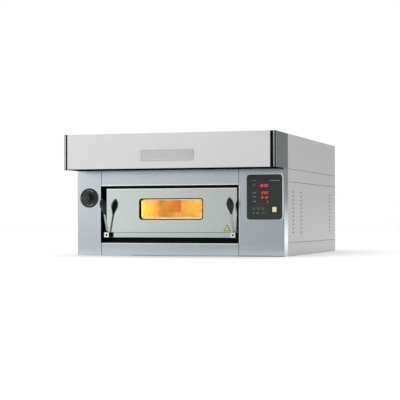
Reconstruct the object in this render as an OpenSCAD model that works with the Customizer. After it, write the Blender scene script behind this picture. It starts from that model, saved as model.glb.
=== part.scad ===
// Electric deck oven with one baking chamber, a bottom-hung door and a steam hood.
// Origin: centre of the base underside. +Z is up, the door faces -Y, +X is the control side.

/* [Body] */
// Width of the oven body over its side panels
body_w = 1100; // [917:1:1320]
// Depth of the oven body, front panels to back panel
body_d = 1250; // [1042:1:1500]
// Height of the oven body below the hood
body_h = 436; // [400:1:524]
// Thickness of the folded casing sheets
sheet = 1.5; // [1:0.1:1.8]
// Width of the dark joint lines between casing panels
seam = 0.8; // [0.5:0.1:1]
// Depth of the polished front shell along the sides
facade_d = 77; // [70:1:92]
// Height of the band that the base pan folds up round the casing
base_band_h = 65; // [54:1:78]
// Height of the band that the top cover folds down round the casing
top_band_h = 64; // [54:1:77]
// Width of the folds behind the edges of the removable panels
panel_return = 12; // [8:1:14]

/* [Front] */
// Width of the left front panel, with the steam vent knob
left_panel_w = 132.5; // [128:0.5:159]
// Width of the right front panel, with the controls
right_panel_w = 232.5; // [215:0.5:279]
// Height of the front rail below the door
bottom_rail_h = 68; // [57:1:81]
// Height of the front rail above the door
top_rail_h = 78; // [65:1:93]
// Wall of the black sleeve that lines the door opening
surround_t = 2; // [1.5:0.1:2.4]

/* [Door] */
// Gap between the door and the opening at each side
door_side_gap = 17.5; // [15:0.5:21]
// Gap below the door
door_bottom_gap = 24; // [20:1:28]
// Gap above the door
door_top_gap = 14; // [11.5:0.5:17]
// Distance of the door's face behind the front panels
door_recess = 30; // [27:1:36]
// Thickness of the door
door_t = 39.7; // [33:0.1:48]
// Height of the stiff rail along the door's lower edge
door_rail_h = 26; // [25:0.5:30]
// Height of the window's lower edge above the door's lower edge
window_sill = 94; // [84:1:112]
// Height of door left above the window
window_head = 55; // [46:1:66]
// Width of the door left at each side of the window
window_side = 182; // [152:1:218]
// Corner radius of the window
window_r = 14; // [10:1:17]
// Thickness of a window pane
pane_t = 4; // [3:0.5:5]

/* [Hinge and handles] */
// Edge of the square hinge blocks
hinge_block = 25; // [21:0.5:30]
// Distance of the hinge axis behind the front panels
hinge_back = 7.5; // [7:0.5:9]
// Height of the hinge axis above the door's lower edge
hinge_up = 13; // [12.5:0.5:14]
// Radius of the hinge pins
hinge_pin_r = 4; // [3.3:0.1:4.2]
// Radial clearance of a pin that turns in its bush
running_gap = 0.05; // [0.02:0.01:0.1]
// Radius of the handle rods
rod_r = 5; // [4:0.1:6]
// Lean of the handles towards the user, in degrees
rod_lean = 23.5; // [18:0.5:28]
// Length of a handle along its rod, from the block to the top of the grip
handle_len = 192; // [160:1:230]
// Length of a handle grip
grip_len = 95; // [80:1:114]
// Width of a handle grip
grip_w = 38; // [32:1:45]
// Thickness of a handle grip
grip_t = 25; // [21:1:30]

/* [Hood] */
// Height of the hood above the oven body
hood_h = 175; // [146:1:210]
// Distance that the hood overhangs the front panels
hood_out = 175; // [146:1:210]
// Width of the corner profile on the hood's front
corner_front = 11; // [10:0.5:13]
// Width of the dark groove beside each corner profile
corner_groove = 7.5; // [6:0.5:9]
// Length of the corner profile along the hood's side
corner_side = 50; // [42:1:60]
// Width of the plain plate on the hood
plate_w = 274; // [228:1:328]
// Height of the plain plate on the hood
plate_h = 53; // [44:1:63]
// Inner radius of the flue collar
flue_r = 75; // [62.5:0.5:90]
// Height of the flue collar above the hood
flue_h = 50; // [42:1:60]

/* [Baking chamber] */
// Distance from the chamber's back wall to the oven's back
rear_space = 368; // [300:1:420]
// Step up from the open door's inner face to the baking surface
hearth_step = 0.8; // [0.5:0.1:6]
// Height from the chamber ceiling to the door's upper edge
ceiling_down = 18; // [15:1:22]
// Thickness of the stone slabs
stone_t = 18; // [15:1:21]
// Depth of the heater space below the slabs
under_hearth = 32; // [27:1:38]
// Radius of the heating rods
element_r = 4; // [3.3:0.1:4.8]
// Number of heating rods above and below
element_count = 4; // [3:1:5]
// Thickness of the insulation at the sides
side_wool = 40; // [33:1:41]
// Thickness of the insulation behind the chamber
back_wool = 90; // [75:1:108]

/* [Steam vent] */
// Radius of the printed dial plate
dial_r = 50; // [42:1:58]
// Radius of the vent knob
knob_r = 24; // [20:1:28]
// Height of the vent knob in front of the dial
knob_h = 36; // [30:1:43]
// Radius of the vent spindle
spindle_r = 5; // [4.2:0.1:6]
// Width of the vent duct across the oven
duct_w = 64; // [54:1:65]
// Length of the vent duct along the spindle
duct_l = 90; // [75:1:108]

/* [Controls] */
// Width of the control plate
control_w = 182; // [152:1:218]
// Height of the control plate
control_h = 224; // [208:1:240]
// Corner radius of the control plate
control_r = 17; // [14:1:20]
// Thickness of the control plate
control_t = 3; // [2.5:0.1:3.6]
// Radius of the round keys
key_r = 6; // [5:0.5:7]
// Travel of a key
key_travel = 0.8; // [0.6:0.1:1]
// Width of the lit switch button
button_w = 24.8; // [21:0.1:29]
// Height of the lit switch button
button_h = 27.8; // [23.5:0.1:33]
// Travel of the switch button
button_travel = 3; // [2.5:0.1:3.6]
// Size of the square cooling fan
fan_size = 92; // [80:1:110]

/* [Hidden] */
$fn = 64;
fit_gap = 0.3;   // clearance of pieces that sit in a cut-out
xl = -body_w / 2;
xr = body_w / 2;
yf = -body_d / 2;
yb = body_d / 2;
facade_h = body_h - sheet - 0.5;
side_y0 = yf + facade_d + seam;
side_y1 = yb - sheet - 0.5;
top_band_z = body_h - top_band_h;

// door opening, door and hinge
open_x0 = xl + left_panel_w;
open_x1 = xr - right_panel_w;
open_cx = (open_x0 + open_x1) / 2;
open_z0 = bottom_rail_h;
open_z1 = facade_h - top_rail_h;
door_x0 = open_x0 + door_side_gap;
door_x1 = open_x1 - door_side_gap;
door_z0 = open_z0 + door_bottom_gap;
door_z1 = open_z1 - door_top_gap;
door_y0 = yf + door_recess;
door_y1 = door_y0 + door_t;
rail_z1 = door_z0 + door_rail_h - seam;
window_x0 = door_x0 + window_side;
window_x1 = door_x1 - window_side;
window_z0 = door_z0 + window_sill;
window_z1 = door_z1 - window_head;
hinge_y = yf + hinge_back;
hinge_z = door_z0 + hinge_up;
block_xs = [door_x0 + hinge_block / 2, door_x1 - hinge_block / 2];
trim_t = 1.5;
skin_d = door_t * 0.55;
liner_d = door_t - skin_d - 0.5;

// chamber
seal_t = 4;
mouth_y = door_y1 + fit_gap + seal_t;
wall_y0 = mouth_y + surround_t;
chamber_margin = 7.5;
room_x0 = open_x0 + chamber_margin;
room_x1 = open_x1 - chamber_margin;
room_y1 = yb - rear_space;
hearth_z = hinge_z + door_y1 - hinge_y + hearth_step;
stone_z0 = hearth_z - stone_t;
room_z0 = stone_z0 - under_hearth;
room_z1 = door_z1 - ceiling_down;
mouth_lip = 20;
top_element_z = room_z1 - 16;
low_element_z = stone_z0 - under_hearth / 2;
rail_drop = 30;
wool_top = body_h - sheet - rail_drop - 0.5;
lamp_y = wall_y0 + 230;
lamp_z = (hearth_z + room_z1) / 2 + 25;
lamp_r = 24;
probe_y = wall_y0 + 330;
probe_r = 3;
probe_in = 30;
probe_zs = [top_element_z, stone_z0 - 8];

// steam vent
vent_x = xl + left_panel_w / 2;
vent_z = open_z1 - 61;
duct_y0 = wall_y0 + 120;
duct_y1 = duct_y0 + duct_l;
duct_x0 = vent_x - duct_w / 2;
duct_x1 = vent_x + duct_w / 2;
inlet_h = 44;
inlet_z1 = vent_z - duct_w / 2;
inlet_z0 = inlet_z1 - inlet_h;
dial_t = 2.5;

// controls
control_x1 = xr - 9;
control_x0 = control_x1 - control_w;
control_z1 = body_h - 30;
control_z0 = control_z1 - control_h;
board_y = yf + 24;
// each display window: distance of its right edge and its centre from the plate's right and top edges, then its size
display_right = 72;
displays_at = [[55.5, 50, 21], [91, 36, 18], [114.5, 36, 18], [136, 14, 21]];
key_xs = [control_x0 + 36, control_x0 + 59, control_x0 + 82];
key_z = control_z0 + 54;
button_x = control_x1 - 39.5;
button_z = control_z0 + 50;
bezel_margin = 7;
fan_x = xr - 110;
fan_z = base_band_h + 155;
gland_x = xr - 90;
gland_z = base_band_h + 40;
gland_r = 8;

// hood
hood_y = yf - hood_out;
hood_z0 = body_h + 0.5;
hood_z1 = body_h + hood_h;
hood_lip = 22;
fascia_x0 = xl + corner_front + corner_groove;
fascia_x1 = xr - corner_front - corner_groove;
corner_wall = 9;
corner_slot_d = 12;
corner_web = 2;
corner_tongue = 10;
flue_y = yb - 220;

// ---- helpers ----

// Box between two corners
module block(x0, x1, y0, y1, z0, z1) {
    translate([x0, y0, z0]) cube([x1 - x0, y1 - y0, z1 - z0]);
}

// Round bar along X
module bar_x(r, x0, x1, y, z) {
    translate([x0, y, z]) rotate([0, 90, 0]) cylinder(r = r, h = x1 - x0);
}

// Round bar along Y
module bar_y(r, y0, y1, x, z) {
    translate([x, y0, z]) rotate([-90, 0, 0]) cylinder(r = r, h = y1 - y0);
}

// Rectangle with round corners
module round_rect(x0, x1, z0, z1, r) {
    translate([x0 + r, z0]) square([x1 - x0 - 2 * r, z1 - z0]);
    translate([x0, z0 + r]) square([x1 - x0, z1 - z0 - 2 * r]);
    for (x = [x0 + r, x1 - r], z = [z0 + r, z1 - r]) translate([x, z]) circle(r);
}

// Upright plate with round corners, its face in the XZ plane
module round_plate(x0, x1, z0, z1, y0, y1, r) {
    translate([0, y1, 0]) rotate([90, 0, 0]) linear_extrude(y1 - y0) round_rect(x0, x1, z0, z1, r);
}

// Plan of a sheet that bends once, from the front along +X to the side along +Y
module bent_sheet(w, d, r) {
    translate([r, 0]) square([w - r, sheet]);
    translate([0, r]) square([sheet, d - r]);
    intersection() {
        difference() {
            translate([r, r]) circle(r);
            translate([r, r]) circle(r - sheet);
        }
        square([r, r]);
    }
}

// Casts its children a second time, mirrored to the other side of the body
module both_sides() {
    children();
    mirror([1, 0, 0]) children();
}

// ---- body casing ----

module base_pan() {
    inset = sheet + 0.5;
    hole_x = body_w / 2 - 50;
    hole_y = body_d / 2 - 75;
    color("gainsboro") difference() {
        union() {
            block(xl, xr, side_y0, yb, 0, sheet);
            block(xl + inset, xr - inset, yf + inset, side_y0, 0, sheet);
            both_sides() block(xl, xl + sheet, side_y0, side_y1, 0, base_band_h);
            block(xl, xr, yb - sheet, yb, 0, base_band_h);
        }
        for (x = [-hole_x, hole_x], y = [-hole_y, hole_y])
            translate([x, y, -1]) cylinder(r = 5.5, h = sheet + 2);
    }
}

module chassis_frame() {
    leg = 30;
    steel = 2;
    px = xl + panel_return + 0.5;
    front_y = side_y0 + panel_return + 0.5;
    back_y = yb - sheet - panel_return - 0.5;
    z0 = sheet;
    z1 = body_h - sheet;
    color("darkgray") union() {
        both_sides() {
            block(px, px + steel, front_y, front_y + leg, z0, z1);
            block(px, px + leg, front_y, front_y + steel, z0, z1);
            block(px, px + steel, back_y - leg, back_y, z0, z1);
            block(px, px + leg, back_y - steel, back_y, z0, z1);
            block(px, px + steel, front_y, back_y, z1 - rail_drop, z1);
        }
        block(px, -px, front_y, front_y + steel, z1 - rail_drop, z1);
        block(px, -px, back_y - steel, back_y, z1 - rail_drop, z1);
    }
}

module left_front_panel() {
    color("lightsteelblue") difference() {
        translate([xl, yf, 0]) linear_extrude(facade_h)
            bent_sheet(left_panel_w - seam / 2, facade_d, 4);
        bar_y(spindle_r + 1.5, yf - 1, yf + sheet + 1, vent_x, vent_z);
    }
}

module right_front_panel() {
    rim = 4;
    lap = 6;
    color("lightsteelblue") difference() {
        union() {
            mirror([1, 0, 0]) translate([xl, yf, 0]) linear_extrude(facade_h)
                bent_sheet(right_panel_w - seam / 2, facade_d, 4);
            difference() {
                round_plate(control_x0 - rim, control_x1 + rim, control_z0 - rim, control_z1 + rim,
                    yf - 2, yf + sheet, control_r + rim);
                round_plate(control_x0 - fit_gap, control_x1 + fit_gap, control_z0 - fit_gap,
                    control_z1 + fit_gap, yf - 3, yf, control_r + fit_gap);
            }
        }
        block(control_x0 + lap, control_x1 - lap, yf - 1, yf + sheet + 1,
            control_z0 + lap, control_z1 - lap);
    }
}

module top_front_rail() {
    x0 = open_x0 + seam / 2;
    x1 = open_x1 - seam / 2;
    fold = 25;
    color("lightsteelblue") union() {
        block(x0, x1, yf, yf + sheet, open_z1, facade_h);
        block(x0, x1, yf, yf + fold, open_z1, open_z1 + sheet);
        block(x0, x1, yf, yf + fold, facade_h - sheet, facade_h);
    }
}

module bottom_front_rail() {
    x0 = open_x0 + seam / 2;
    x1 = open_x1 - seam / 2;
    color("lightsteelblue") union() {
        block(x0, x1, yf, yf + sheet, 0, open_z0);
        block(x0, x1, yf, yf + 25, open_z0 - sheet, open_z0);
    }
}

module door_surround() {
    g = 0.5;
    w = surround_t;
    color("black") difference() {
        block(open_x0 + g, open_x1 - g, yf + g, wall_y0, open_z0 + g, open_z1 - g);
        block(open_x0 + g + w, open_x1 - g - w, yf - 1, mouth_y, open_z0 + g + w, open_z1 - g - w);
        block(room_x0 + mouth_lip, room_x1 - mouth_lip, mouth_y - 1, wall_y0 + 1, hearth_z, room_z1);
        bar_x(bush_r + running_gap, open_x0 - 1, open_x1 + 1, hinge_y, hinge_z);
    }
}

// Plain upright slots in columns; each column is a bank of vents
module vent_slots(columns, x0, x1, z_first, rows, pitch) {
    slot_l = 26;
    slot_r = 3.2;
    for (y = columns, row = [0 : rows - 1]) {
        z = z_first + row * pitch;
        block(x0, x1, y + slot_r, y + slot_l - slot_r, z - slot_r, z + slot_r);
        bar_x(slot_r, x0, x1, y + slot_r, z);
        bar_x(slot_r, x0, x1, y + slot_l - slot_r, z);
    }
}

module side_panel_body() {
    z0 = base_band_h + seam;
    z1 = top_band_z - seam;
    rows = 11;
    pitch = (z1 - z0 - 100) / (rows - 1);
    difference() {
        union() {
            block(xr - sheet, xr, side_y0, side_y1, z0, z1);
            for (z = [z0, z1 - sheet]) block(xr - panel_return, xr, side_y0, side_y1, z, z + sheet);
            for (y = [side_y0, side_y1 - sheet]) block(xr - panel_return, xr, y, y + sheet, z0, z1);
        }
        vent_slots([yf + 176, yf + 355, yb - 170], xr - sheet - 1, xr + 1, z0 + 51, rows, pitch);
    }
}

module right_side_panel() { color("gainsboro") side_panel_body(); }
module left_side_panel() { color("gainsboro") mirror([1, 0, 0]) side_panel_body(); }

module back_panel() {
    z0 = base_band_h + seam;
    z1 = top_band_z - seam;
    color("gainsboro") difference() {
        block(xl, xr, yb - sheet, yb, z0, z1);
        for (ring = [1 : 3], a = [0 : 360 / (ring * 6) : 359])
            bar_y(4, yb - sheet - 1, yb + 1, fan_x + ring * 12 * cos(a), fan_z + ring * 12 * sin(a));
        bar_y(gland_r + 4, yb - sheet - 1, yb + 1, gland_x, gland_z);
    }
}

module top_cover() {
    color("gainsboro") difference() {
        union() {
            block(xl, xr, yf + 0.5, yb, body_h - sheet, body_h);
            both_sides() block(xl, xl + sheet, side_y0, side_y1, top_band_z, body_h);
            block(xl, xr, yb - sheet, yb, top_band_z, body_h);
        }
        block(duct_x0 - fit_gap, duct_x1 + fit_gap, duct_y0 - fit_gap, duct_y1 + fit_gap,
            body_h - sheet - 1, body_h + 1);
    }
}

module case_screws() {
    head_r = 4;
    head_h = 2.5;
    z_rows = [base_band_h + seam + 12, top_band_z - seam - 12];
    color("silver") {
        for (x = [xl + 20, 0, xr - 20], z = z_rows) bar_y(head_r, yb, yb + head_h, x, z);
        for (x = [xl + 60, 0, xr - 60]) bar_y(head_r, yb, yb + head_h, x, hood_z0 + 15);
        for (a = [45 : 90 : 359])
            translate([(flue_r + 13) * cos(a), flue_y + (flue_r + 13) * sin(a), hood_z1 + 2])
                cylinder(r = head_r, h = head_h);
    }
}

// ---- hood ----

module hood_fascia() {
    top_fold_z = hood_z1 - 2 * sheet - 0.5;
    color("lightgray") union() {
        block(fascia_x0, fascia_x1, hood_y, hood_y + sheet, hood_z0, hood_z1);
        block(fascia_x0, fascia_x1, hood_y, hood_y + hood_lip, hood_z0, hood_z0 + sheet);
        block(fascia_x0, fascia_x1, hood_y, hood_y + hood_lip, top_fold_z, top_fold_z + sheet);
        for (x = [fascia_x0, fascia_x1 - sheet])
            block(x, x + sheet, hood_y, hood_y + 12, hood_z0, hood_z1);
    }
}

// Plan of the fluted corner: x runs inwards from the side, y runs back from the front
module corner_plan() {
    bend = 7;
    flutes = 4;
    flute_pitch = (corner_side - corner_slot_d - corner_web) / flutes;
    difference() {
        union() {
            translate([bend, 0]) square([corner_front - bend, corner_slot_d]);
            translate([0, bend]) square([corner_wall, corner_side - bend]);
            translate([bend, bend]) circle(bend);
            translate([bend, bend]) square([corner_front - bend, corner_slot_d + corner_web - bend]);
            translate([0, corner_slot_d]) square([corner_front + corner_groove - 0.2, corner_web]);
            translate([sheet + fit_gap, corner_side - 1]) square([3, corner_tongue + 1]);
        }
        for (i = [0 : flutes - 1])
            translate([0, corner_slot_d + corner_web + flute_pitch * (i + 0.5)]) circle(1.8);
        translate([corner_front - 2, 0]) circle(1.2);
    }
}

module hood_corner_body() {
    translate([xl, hood_y, hood_z0]) linear_extrude(hood_z1 - hood_z0) corner_plan();
}

module hood_corner_left() { color("silver") hood_corner_body(); }
module hood_corner_right() { color("silver") mirror([1, 0, 0]) hood_corner_body(); }

// Upright hood sheet at the left side, folded inwards at its lower and upper edge
module hood_wall(y0, y1) {
    top_fold_z = hood_z1 - 2 * sheet - 0.5;
    union() {
        block(xl, xl + sheet, y0, y1, hood_z0, hood_z1);
        block(xl, xl + hood_lip, y0, y1, hood_z0, hood_z0 + sheet);
        block(xl, xl + hood_lip, y0, y1, top_fold_z, top_fold_z + sheet);
    }
}

// The cheek's folds stop short of the corner profile's tongue
module hood_cheek_body() {
    y0 = hood_y + corner_side + fit_gap;
    fold_y0 = hood_y + corner_side + corner_tongue + 1;
    union() {
        block(xl, xl + sheet, y0, fold_y0 + 1, hood_z0, hood_z1);
        hood_wall(fold_y0, yf + facade_d);
    }
}

module hood_cheek_left() { color("lightgray") hood_cheek_body(); }
module hood_cheek_right() { color("lightgray") mirror([1, 0, 0]) hood_cheek_body(); }
module hood_side_left() { color("gainsboro") hood_wall(side_y0, side_y1); }
module hood_side_right() { color("gainsboro") mirror([1, 0, 0]) hood_wall(side_y0, side_y1); }

module hood_top() {
    g = fit_gap;
    edge = xl + sheet + g;
    corner_edge = xl + corner_wall + g;
    front_edge = fascia_x0 + sheet + g;
    corner_y0 = hood_y + corner_slot_d + corner_web + g;
    corner_y1 = hood_y + corner_side + corner_tongue + g;
    color("gainsboro") difference() {
        union() {
            block(edge, -edge, corner_y1, yb, hood_z1 - sheet, hood_z1);
            block(corner_edge, -corner_edge, corner_y0, corner_y1 + 1, hood_z1 - sheet, hood_z1);
            block(front_edge, -front_edge, hood_y + sheet + g, corner_y0 + 1, hood_z1 - sheet, hood_z1);
            block(xl, xr, yb - sheet, yb, hood_z0, hood_z1);
        }
        translate([0, flue_y, hood_z1 - sheet - 1]) cylinder(r = flue_r + 3, h = sheet + 2);
    }
}

module name_plate() {
    z_mid = body_h + 66;
    color("silver") difference() {
        round_plate(-plate_w / 2, plate_w / 2, z_mid - plate_h / 2, z_mid + plate_h / 2,
            hood_y - 3, hood_y, 4);
        round_plate(-plate_w / 2 + 4, plate_w / 2 - 4, z_mid - plate_h / 2 + 4, z_mid + plate_h / 2 - 4,
            hood_y - 4, hood_y - 2, 2);
    }
}

module flue_collar() {
    color("silver") translate([0, flue_y, hood_z1]) difference() {
        union() {
            cylinder(r = flue_r + sheet, h = flue_h);
            cylinder(r = flue_r + 22, h = 2);
        }
        translate([0, 0, -1]) cylinder(r = flue_r, h = flue_h + 2);
    }
}

// ---- baking chamber ----

// Centres of the heating rods' legs across the chamber
element_pitch = (room_x1 - room_x0) / element_count;
element_bend = element_pitch / 4;
element_xs = [for (i = [0 : element_count - 1]) room_x0 + element_pitch * (i + 0.5)];

// The bores for both legs of every heating rod, above and below
module element_bores(y0, y1, gap) {
    for (x = element_xs, s = [-1, 1], z = [top_element_z, low_element_z])
        bar_y(element_r + gap, y0, y1, x + s * element_bend, z);
}

module heating_rods(z) {
    turn_y = wall_y0 + 60 + element_bend;
    tail_y = room_y1 + back_wool - 20;
    color("dimgray") for (x = element_xs) union() {
        for (s = [-1, 1]) bar_y(element_r, turn_y, tail_y, x + s * element_bend, z);
        translate([x, turn_y, z]) rotate([0, 0, 180]) rotate_extrude(angle = 180)
            translate([element_bend, 0]) circle(element_r);
    }
}

module top_elements() { heating_rods(top_element_z); }
module bottom_elements() { heating_rods(low_element_z); }

module chamber_liner() {
    ledge = 15;
    color("silver") difference() {
        union() {
            difference() {
                block(room_x0 - sheet, room_x1 + sheet, wall_y0, room_y1 + sheet,
                    room_z0 - sheet, room_z1 + sheet);
                block(room_x0, room_x1, wall_y0 - 1, room_y1, room_z0, room_z1);
            }
            block(room_x0, room_x0 + ledge, wall_y0, room_y1, stone_z0 - sheet, stone_z0);
            block(room_x1 - ledge, room_x1, wall_y0, room_y1, stone_z0 - sheet, stone_z0);
            block(room_x0, room_x1, wall_y0, wall_y0 + sheet, room_z0, stone_z0);
            block(room_x0, room_x1, room_y1 - 24, room_y1 - 24 + sheet, hearth_z, hearth_z + 58);
        }
        element_bores(room_y1 - 1, room_y1 + sheet + 1, fit_gap);
        block(room_x0 - sheet - 1, room_x0 + 1, duct_y0, duct_y1, inlet_z0, inlet_z1);
        bar_x(lamp_r, room_x1 - 1, room_x1 + sheet + 1, lamp_y, lamp_z);
        for (z = probe_zs) bar_x(probe_r + fit_gap, room_x1 - 1, room_x1 + sheet + 1, probe_y, z);
    }
}

module hearth_stones() {
    mid = (wall_y0 + room_y1) / 2;
    color("tan") for (y = [[wall_y0 + 2, mid - 0.4], [mid + 0.4, room_y1 - 2]])
        block(room_x0 + 2, room_x1 - 2, y[0], y[1], stone_z0, hearth_z);
}

module insulation_blankets() {
    x0 = room_x0 - sheet;
    x1 = room_x1 + sheet;
    y1 = room_y1 + sheet;
    low = room_z0 - sheet;
    high = room_z1 + sheet;
    color("khaki") {
        block(x0, x1, wall_y0, y1 + back_wool, sheet, low);
        block(x0, x1, wall_y0, y1 + back_wool, high, wool_top);
        difference() {
            block(x0 - side_wool, x0, wall_y0, y1 + back_wool, sheet, wool_top);
            block(x0 - side_wool - 1, x0 + 1, duct_y0 - fit_gap, duct_y1 + fit_gap,
                inlet_z0 - sheet - fit_gap, inlet_z1 + sheet + fit_gap);
        }
        difference() {
            block(x1, x1 + side_wool, wall_y0, y1 + back_wool, sheet, wool_top);
            bar_x(lamp_r + 3 + fit_gap, x1 - 1, x1 + side_wool + 1, lamp_y, lamp_z);
            for (z = probe_zs)
                bar_x(probe_r + fit_gap, x1 - 1, x1 + side_wool + 1, probe_y, z);
        }
        difference() {
            block(x0, x1, y1, y1 + back_wool, low, high);
            element_bores(y1 - 1, y1 + back_wool + 1, 0.5);
        }
    }
}

module chamber_lamp() {
    x0 = room_x1 + sheet;
    color("ivory") difference() {
        union() {
            bar_x(lamp_r + 3, x0, x0 + side_wool, lamp_y, lamp_z);
        }
        difference() {
            bar_x(lamp_r, x0 - 1, x0 + side_wool - 3, lamp_y, lamp_z);
            bar_x(8, x0 + 20, x0 + side_wool, lamp_y, lamp_z);
            translate([x0 + 16, lamp_y, lamp_z]) sphere(10);
        }
    }
}

module lamp_lens() {
    color("white") bar_x(lamp_r + 6, room_x1 - 5, room_x1, lamp_y, lamp_z);
}

module temperature_probes() {
    color("silver") for (z = probe_zs)
        bar_x(probe_r, room_x1 - probe_in, room_x1 + sheet + side_wool, probe_y, z);
}

// ---- steam vent ----

module vent_duct() {
    top = hood_z0 + 14;
    t = sheet;
    color("silver") difference() {
        union() {
            block(duct_x0, duct_x1, duct_y0, duct_y1, inlet_z0 - t, top);
            block(duct_x1 - t, room_x0 - sheet, duct_y0, duct_y1, inlet_z0 - t, inlet_z1 + t);
        }
        block(duct_x0 + t, duct_x1 - t, duct_y0 + t, duct_y1 - t, inlet_z0, top + 1);
        block(duct_x0 + t, room_x0, duct_y0 + t, duct_y1 - t, inlet_z0, inlet_z1);
        bar_y(spindle_r + running_gap, duct_y0 - 1, duct_y1 + 1, vent_x, vent_z);
    }
}

module vent_dial() {
    color("darkslategray") difference() {
        bar_y(dial_r, yf - dial_t, yf, vent_x, vent_z);
        bar_y(spindle_r + fit_gap, yf - dial_t - 1, yf + 1, vent_x, vent_z);
    }
}

module vent_knob() {
    y1 = yf - dial_t - 0.5;
    y0 = y1 - knob_h;
    color("dimgray") difference() {
        union() {
            bar_y(knob_r, y1 - 10, y1, vent_x, vent_z);
            bar_y(knob_r - 3, y0, y1 - 9, vent_x, vent_z);
        }
        bar_y(spindle_r + running_gap, y0 + 8, y1 + 1, vent_x, vent_z);
    }
}

module damper_spindle() {
    flap_gap = 1;
    color("silver") union() {
        bar_y(spindle_r, yf - dial_t - knob_h + 8, duct_y1 + 12, vent_x, vent_z);
        block(duct_x0 + sheet + flap_gap, duct_x1 - sheet - flap_gap,
            duct_y0 + sheet + flap_gap, duct_y1 - sheet - flap_gap, vent_z - 1, vent_z + 1);
    }
}

// ---- controls ----

// Cuts or fills the display windows, each side moved out by grow
module display_windows(y0, y1, grow) {
    for (d = displays_at) {
        x1 = control_x1 - display_right;
        z = control_z1 - d[0];
        block(x1 - d[1] - grow, x1 + grow, y0, y1, z - d[2] / 2 - grow, z + d[2] / 2 + grow);
    }
}

module switch_body(y0, y1, margin) {
    round_plate(button_x - button_w / 2 - margin, button_x + button_w / 2 + margin,
        button_z - button_h / 2 - margin, button_z + button_h / 2 + margin, y0, y1, 3);
}

module control_fascia() {
    color("darkslategray") difference() {
        round_plate(control_x0, control_x1, control_z0, control_z1, yf - control_t, yf, control_r);
        display_windows(yf - control_t - 1, yf + 1, fit_gap);
        for (x = key_xs) bar_y(key_r + fit_gap, yf - control_t - 1, yf + 1, x, key_z);
        switch_body(yf - control_t - 1, yf + 1, bezel_margin - 2 + fit_gap);
    }
}

module displays() {
    color("darkred") display_windows(yf - control_t + 0.5, board_y, 0);
}

module control_board() {
    edge = 11;
    post_x = [control_x0 + edge + 5, control_x1 - edge - 5];
    post_z = [control_z1 - edge - 5, control_z0 + edge + 5];
    color("darkgreen") difference() {
        union() {
            block(control_x0 + edge, control_x1 - edge, board_y, board_y + 1.6,
                control_z0 + edge, control_z1 - edge);
            for (x = post_x, z = post_z) bar_y(3, yf, board_y + 1, x, z);
        }
        switch_body(yf, board_y + 3, bezel_margin);
    }
}

module switch_housing() {
    color("black") difference() {
        union() {
            switch_body(yf - control_t - 2, yf - control_t, bezel_margin);
            switch_body(yf - control_t - 1, yf + 22, bezel_margin - 2);
        }
        block(button_x - button_w / 2 - 0.2, button_x + button_w / 2 + 0.2,
            yf - control_t - 3, yf + 12, button_z - button_h / 2 - 0.2, button_z + button_h / 2 + 0.2);
    }
}

module switch_button() {
    color("lightyellow") round_plate(button_x - button_w / 2, button_x + button_w / 2,
        button_z - button_h / 2, button_z + button_h / 2, yf - control_t - 5.5, yf + 4, 2);
}

module key(x) {
    color("gray") union() {
        bar_y(key_r, yf - control_t - 0.8, yf + 1.5, x, key_z);
        bar_y(key_r + 1.5, yf + 0.3, yf + 1.5, x, key_z);
        bar_y(2, yf + 1, board_y - key_travel - 0.4, x, key_z);
    }
}

module menu_key() { key(key_xs[0]); }
module up_key() { key(key_xs[1]); }
module down_key() { key(key_xs[2]); }

// ---- electrical compartment ----

plate_x = room_x1 + sheet + side_wool + 0.5;
din_x = plate_x + sheet + 7.5;
din_z = base_band_h + 95;

module component_plate() {
    y0 = wall_y0 + 60;
    y1 = yb - 160;
    color("silver") difference() {
        union() {
            block(plate_x, plate_x + sheet, y0, y1, sheet, wool_top - 10);
            block(plate_x, plate_x + 30, y0, y1, sheet, 2 * sheet);
            block(plate_x + sheet, din_x, y0 + 40, y1 - 40, din_z - 12, din_z + 12);
            block(din_x - 1.5, din_x, y0 + 40, y1 - 40, din_z - 17.5, din_z + 17.5);
        }
        bar_x(lamp_r + 5, plate_x - 1, plate_x + sheet + 1, lamp_y, lamp_z);
        for (z = probe_zs) bar_x(probe_r + 2, plate_x - 1, plate_x + sheet + 1, probe_y, z);
    }
}

module contactors() {
    w = 45;
    y0 = wall_y0 + 120;
    color("whitesmoke") for (i = [0 : 2]) union() {
        y = y0 + i * (w + 12);
        block(din_x, din_x + 60, y, y + w, din_z - 40, din_z + 40);
        block(din_x + 59, din_x + 82, y + 5, y + w - 5, din_z - 22, din_z + 22);
    }
}

module terminal_block() {
    y0 = yb - 420;
    n = 6;
    pitch = 14;
    color("beige") difference() {
        block(din_x, din_x + 48, y0, y0 + n * pitch, din_z - 24, din_z + 24);
        for (i = [0 : n - 1], s = [-1, 1])
            bar_x(3, din_x + 38, din_x + 49, y0 + pitch * (i + 0.5), din_z + s * 13);
    }
}

fan_y1 = yb - sheet;
fan_y0 = fan_y1 - 25;
fan_bore = fan_size / 2 - 3;
motor_r = fan_size * 0.2;

module fan_housing() {
    color("black") difference() {
        union() {
            difference() {
                round_plate(fan_x - fan_size / 2, fan_x + fan_size / 2,
                    fan_z - fan_size / 2, fan_z + fan_size / 2, fan_y0, fan_y1, 5);
                bar_y(fan_bore, fan_y0 - 1, fan_y1 + 1, fan_x, fan_z);
            }
            bar_y(motor_r, fan_y0, fan_y0 + 5, fan_x, fan_z);
            for (a = [0, 90, 180, 270]) translate([fan_x, fan_y0, fan_z]) rotate([0, a, 0])
                translate([motor_r - 2, 0, -2]) cube([fan_bore - motor_r + 3, 3, 4]);
            bar_y(2, fan_y0, fan_y0 + 20, fan_x, fan_z);
        }
    }
}

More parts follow.
